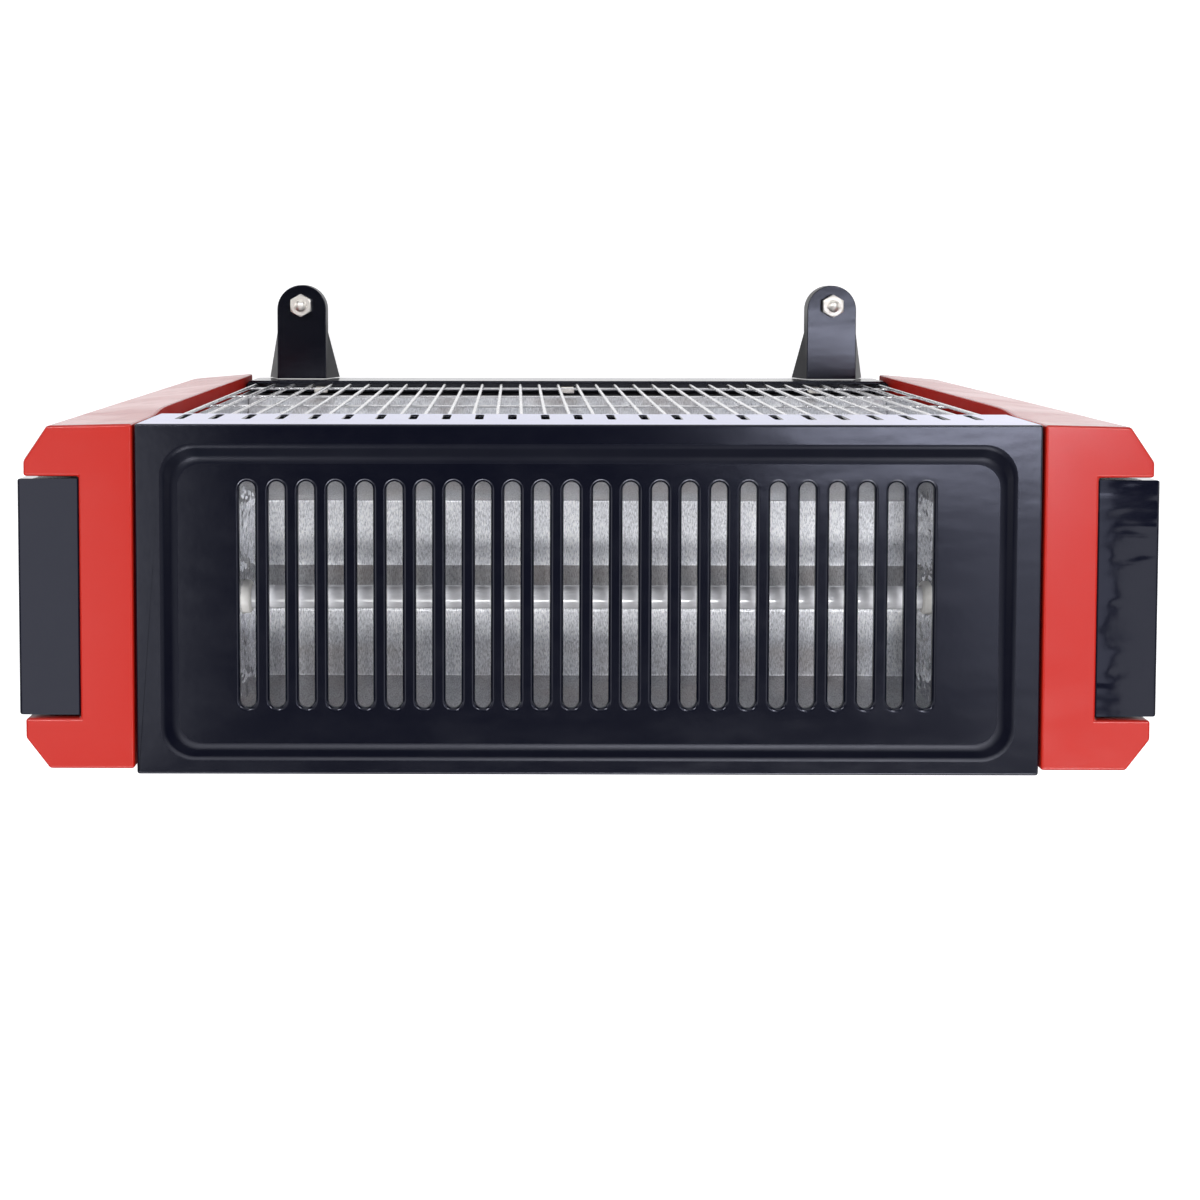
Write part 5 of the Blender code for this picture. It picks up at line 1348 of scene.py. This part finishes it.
def build_tip_switch():
    """Body of the tip-over switch on the pan, and its plunger."""
    low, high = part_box("tip_switch_body")
    inset = Vector((TIP_CASE_STEP, TIP_CASE_STEP, 0))
    body = add_box("tip_switch_case", low, (high.x, high.y, low.z + TIP_CASE_FOOT))
    combine(body, add_box("upper", low + inset, high - inset), "UNION")
    a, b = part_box("tip_plunger")
    spot = (a + b) / 2
    round_edges(body, 0.0006, 3, 40)
    cut(body, add_rod("bore", (spot.x, spot.y, TIP_BORE_Z), TIP_BORE, TIP_BORE_LENGTH, 24))
    smooth(body, 40)
    place(body, "tip_switch_body", "phenolic_moulding")
    pad, stem = (b.x - a.x) / 2, PLUNGER_STEM
    profile = (
        (0, 0),
        (pad - 0.0010, 0),
        (pad - 0.0003, 0.0003),
        (pad, 0.0010),
        (pad, 0.0020),
        (pad - 0.0005, 0.0025),
        (stem, 0.0025),
        (stem, b.z - 0.0004),
        (stem - 0.0004, b.z),
        (0, b.z),
    )
    plunger = turned("plunger_pin", profile, (spot.x, spot.y, 0), "Z", 32)
    smooth(plunger, 40)
    place(plunger, "tip_plunger", "switch_moulding", "plunger")


def build_fittings():
    """Ribbed cord bush, terminal block and thermal cut-out."""
    low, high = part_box("cord_bush")
    spot = (low + high) / 2
    flange = (high.x - low.x) / 2
    bore, neck = BUSH_BORE, BUSH_NECK
    seat = COVER_HIGH.y - spot.y
    half = (high.y - low.y) / 2
    ribs_start = seat + 0.0024
    profile = [
        (bore, -half),
        (neck - 0.001, -half),
        (neck, 0.002 - half),
        (neck, seat + GAP),
        (flange, seat + GAP),
        (flange, seat + 0.0015),
        (flange - 0.0006, seat + 0.0020),
        (neck - 0.0005, ribs_start),
    ]
    step = (half - ribs_start) / BUSH_RIBS
    for k in range(BUSH_RIBS):
        along = ribs_start + k * step
        reach = neck - 0.0008 - 0.0003 * k
        profile += [(reach, along + 0.25 * step), (reach, along + 0.6 * step)]
        profile.append((reach - 0.0007, along + 0.65 * step))
    profile += [(neck - 0.0026, half), (bore, half), (bore, -half)]
    bush = turned("ribbed_bush", profile, spot, "Y", 36)
    smooth(bush, 40)
    place(bush, "cord_bush", "foot_rubber")

    low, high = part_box("terminal_block")
    centre = (low + high) / 2
    block = add_box("terminal_case", low, high)

    def on_upper_edge(edge):
        spot = middle(edge)
        return runs_along(edge, 1) and spot.x > high.x - CLOSE and spot.z > high.z - CLOSE

    bevel(block, on_upper_edge, TERMINAL_CHAMFER, 1)
    pitch = (high.y - low.y) / TERMINALS
    for y in row(TERMINALS, pitch, centre.y):
        spot = (high.x, y, centre.z - TERMINAL_DROP)
        cut(block, add_rod("hole", spot, TERMINAL_HOLE, TERMINAL_HOLE_LENGTH, 16, "X"))
    for y in row(TERMINALS - 1, pitch, centre.y):
        low_corner = (centre.x, y - TERMINAL_GROOVE, low.z - PAST)
        cut_box(block, low_corner, (high.x + PAST, y + TERMINAL_GROOVE, high.z + PAST))
    round_edges(block, 0.0003, 2, 40)
    smooth(block, 40)
    place(block, "terminal_block", "phenolic_moulding")

    low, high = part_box("thermal_cutout")
    spot = (low + high) / 2
    radius = (high.z - low.z) / 2
    height = high.x - low.x
    profile = (
        (0, 0),
        (radius, 0),
        (radius, -0.55 * height),
        (0.82 * radius, -0.58 * height),
        (0.80 * radius, -0.92 * height),
        (0.74 * radius, -height),
        (0, -height),
    )
    cutout = turned("cutout_disc", profile, (high.x, spot.y, spot.z), "X", 32)
    smooth(cutout, 35)
    place(cutout, "thermal_cutout", "phenolic_moulding")


def dress_kept_nodes():
    """Finishes of the frame's own pieces that keep their shape."""
    finishes = {
        "end_plate_left": "galvanised_sheet",
        "end_plate_right": "galvanised_sheet",
        "heating_coil_upper": "coil_wire",
        "heating_coil_lower": "coil_wire",
        "heating_coil_top": "coil_wire",
    }
    for node, finish in finishes.items():
        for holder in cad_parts[node].material_slots:
            holder.material = bpy.data.materials[finish]


# Studio


def make_backdrop():
    """White floor that keeps the heater's shadow."""
    bpy.ops.object.select_all(action="DESELECT")
    bpy.ops.mesh.primitive_plane_add(size=14, location=(0, 0, 0))
    floor = settle("studio_floor")
    nodes, shader = new_finish("studio_paper", (0.42, 0.42, 0.43), 0.9)
    path = nodes.add("ShaderNodeLightPath").outputs
    mirrored = nodes.math("ADD", path["Is Glossy Ray"], path["Is Transmission Ray"])
    seen = nodes.math("ADD", path["Is Camera Ray"], mirrored, clamp=True)
    shader["Emission Color"].default_value = (1, 1, 1, 1)
    nodes.feed(shader["Emission Strength"], nodes.math("MULTIPLY", seen, 0.90))
    floor.data.materials.append(bpy.data.materials["studio_paper"])


def make_world():
    """Soft dim light from all round, white where the camera looks past the floor."""
    world = bpy.data.worlds.new("studio_air")
    bpy.context.scene.world = world
    world.use_nodes = True
    nodes = Nodes(world.node_tree)
    background = world.node_tree.nodes["Background"]
    seen = nodes.add("ShaderNodeLightPath").outputs["Is Camera Ray"]
    nodes.feed(background.inputs["Color"], (0.93, 0.95, 1.0, 1.0))
    nodes.feed(background.inputs["Strength"], nodes.ramp(seen, 0.0, 1.0, 0.05, 1.0))


def add_lamp(name, place_at, aim, size, power, colour=(1, 1, 1)):
    bpy.ops.object.light_add(type="AREA", location=place_at)
    lamp = bpy.context.object
    lamp.name = name
    lamp.data.shape = "RECTANGLE"
    lamp.data.size, lamp.data.size_y = size
    lamp.data.energy = power
    lamp.data.color = colour
    lamp.rotation_euler = (Vector(aim) - Vector(place_at)).to_track_quat("-Z", "Y").to_euler()


def make_lamps():
    add_lamp("rear_top_box", (0, 1.05, 1.75), (0, 1.05, 0), (2.0, 0.84), 24)
    add_lamp("front_top_box", (0, -1.26, 1.75), (0, -1.26, 0), (2.0, 1.7), 4.4, (0.86, 0.90, 1.0))
    add_lamp("left_top_box", (1.0, 0.2, 1.76), (1.0, 0.2, 0), (1.2, 0.44), 2.2)
    add_lamp("right_top_box", (-1.1, 0.48, 1.76), (-1.1, 0.48, 0), (1.0, 0.66), 2.2)
    add_lamp("right_strip", (-0.51, 0.06, 1.76), (-0.51, 0.06, 0), (0.15, 0.56), 0.32, (0.88, 0.90, 1.0))
    add_lamp("right_glow", (-0.43, 0.0, 1.74), (-0.43, 0.0, 0), (0.34, 0.13), 1.3, (0.88, 0.90, 1.0))
    add_lamp("trough_box", (-0.3, 0.78, 1.7), (-0.1, 0, 0.3), (0.7, 0.24), 8)
    add_lamp("left_spot", (0.6, -0.66, 1.7), (0, 0, 0.3), (0.26, 0.26), 5.6)
    add_lamp("right_spot", (-0.6, -0.66, 1.7), (0, 0, 0.3), (0.26, 0.26), 5.6)
    add_lamp("left_box", (1.7, -0.5, 0.7), (0, 0, 0.2), (1.2, 1.0), 6)
    add_lamp("right_box", (-1.8, -0.4, 0.7), (0, 0, 0.2), (1.2, 1.0), 5)
    add_lamp("front_box", (0.1, -1.9, 0.8), (0, 0, 0.15), (1.8, 0.9), 7)


def make_camera():
    bpy.ops.object.camera_add(
        location=CAMERA_PLACE, rotation=[math.radians(angle) for angle in CAMERA_TURN]
    )
    camera = bpy.context.object
    camera.name = "photo_camera"
    camera.data.sensor_width = 36.0
    camera.data.lens = CAMERA_LENS
    camera.data.shift_x, camera.data.shift_y = CAMERA_SHIFT
    camera.data.clip_start = 0.01
    bpy.context.scene.camera = camera


# Operators


class HEATER_OT_finishes(bpy.types.Operator):
    """Make the node groups and materials"""

    bl_idname = "heater.finishes"
    bl_label = "Finishes"

    def execute(self, context):
        make_finishes(context.scene.heater_finishes)
        return {"FINISHED"}


class HEATER_OT_top_panel(bpy.types.Operator):
    """Model the slotted top panel"""

    bl_idname = "heater.top_panel"
    bl_label = "Top panel"

    def execute(self, context):
        build_top_panel(context.scene.heater_sizes)
        return {"FINISHED"}


class HEATER_OT_body(bpy.types.Operator):
    """Model the bottom pan and the rear cover"""

    bl_idname = "heater.body"
    bl_label = "Pan and rear cover"

    def execute(self, context):
        build_bottom_pan(context.scene.heater_sizes)
        build_rear_cover()
        return {"FINISHED"}


class HEATER_OT_side_caps(bpy.types.Operator):
    """Model the red side caps"""

    bl_idname = "heater.side_caps"
    bl_label = "Side caps"

    def execute(self, context):
        for side, sign in SIDES:
            build_side_cap(side, sign, context.scene.heater_sizes)
        return {"FINISHED"}


class HEATER_OT_grips(bpy.types.Operator):
    """Model the grip strips"""

    bl_idname = "heater.grips"
    bl_label = "Grip strips"

    def execute(self, context):
        for side, sign in SIDES:
            build_grip(side, sign)
        return {"FINISHED"}


class HEATER_OT_guard(bpy.types.Operator):
    """Model the wire guard and its hooks"""

    bl_idname = "heater.guard"
    bl_label = "Wire guard"

    def execute(self, context):
        build_guard(context.scene.heater_sizes)
        build_clips()
        return {"FINISHED"}


class HEATER_OT_reflectors(bpy.types.Operator):
    """Model the folded reflectors"""

    bl_idname = "heater.reflectors"
    bl_label = "Reflectors"

    def execute(self, context):
        build_reflectors()
        return {"FINISHED"}


class HEATER_OT_elements(bpy.types.Operator):
    """Model the quartz tubes and their ceramic ends"""

    bl_idname = "heater.elements"
    bl_label = "Quartz tubes"

    def execute(self, context):
        build_elements()
        return {"FINISHED"}


class HEATER_OT_legs(bpy.types.Operator):
    """Model the leg brackets, feet, studs and nuts"""

    bl_idname = "heater.legs"
    bl_label = "Legs and feet"

    def execute(self, context):
        build_legs()
        build_feet()
        return {"FINISHED"}


class HEATER_OT_switches(bpy.types.Operator):
    """Model the rocker switches and the tip-over switch"""

    bl_idname = "heater.switches"
    bl_label = "Switches"

    def execute(self, context):
        build_switches()
        build_tip_switch()
        return {"FINISHED"}


class HEATER_OT_fittings(bpy.types.Operator):
    """Model the cord bush, terminal block and thermal cut-out"""

    bl_idname = "heater.fittings"
    bl_label = "Electrical fittings"

    def execute(self, context):
        build_fittings()
        return {"FINISHED"}


class HEATER_OT_kept_nodes(bpy.types.Operator):
    """Give the frame's own pieces their finishes"""

    bl_idname = "heater.kept_nodes"
    bl_label = "Other pieces"

    def execute(self, context):
        dress_kept_nodes()
        return {"FINISHED"}


class HEATER_OT_studio(bpy.types.Operator):
    """Make the floor, the lamps and the camera"""

    bl_idname = "heater.studio"
    bl_label = "Studio"

    def execute(self, context):
        make_backdrop()
        make_world()
        make_lamps()
        make_camera()
        context.scene.view_settings.view_transform = "Standard"
        return {"FINISHED"}


STEPS = (
    HEATER_OT_finishes,
    HEATER_OT_top_panel,
    HEATER_OT_body,
    HEATER_OT_side_caps,
    HEATER_OT_grips,
    HEATER_OT_guard,
    HEATER_OT_reflectors,
    HEATER_OT_elements,
    HEATER_OT_legs,
    HEATER_OT_switches,
    HEATER_OT_fittings,
    HEATER_OT_kept_nodes,
    HEATER_OT_studio,
)


class HEATER_PT_panel(bpy.types.Panel):
    """Sizes, colours and the steps that build the heater"""

    bl_idname = "HEATER_PT_panel"
    bl_label = "Quartz heater"
    bl_space_type = "VIEW_3D"
    bl_region_type = "UI"
    bl_category = "Heater"

    def draw(self, context):
        layout = self.layout
        for holder in (context.scene.heater_sizes, context.scene.heater_finishes):
            for name in holder.__annotations__:
                layout.prop(holder, name)
        for step in STEPS:
            layout.operator(step.bl_idname)


CLASSES = (HeaterSizes, HeaterFinishes, *STEPS, HEATER_PT_panel)


def register():
    for made in CLASSES:
        bpy.utils.register_class(made)
    bpy.types.Scene.heater_sizes = bpy.props.PointerProperty(type=HeaterSizes)
    bpy.types.Scene.heater_finishes = bpy.props.PointerProperty(type=HeaterFinishes)


def unregister():
    del bpy.types.Scene.heater_finishes
    del bpy.types.Scene.heater_sizes
    for made in reversed(CLASSES):
        bpy.utils.unregister_class(made)


def main():
    register()
    for step in STEPS:
        group, name = step.bl_idname.split(".")
        getattr(getattr(bpy.ops, group), name)()


if __name__ == "__main__":
    main()
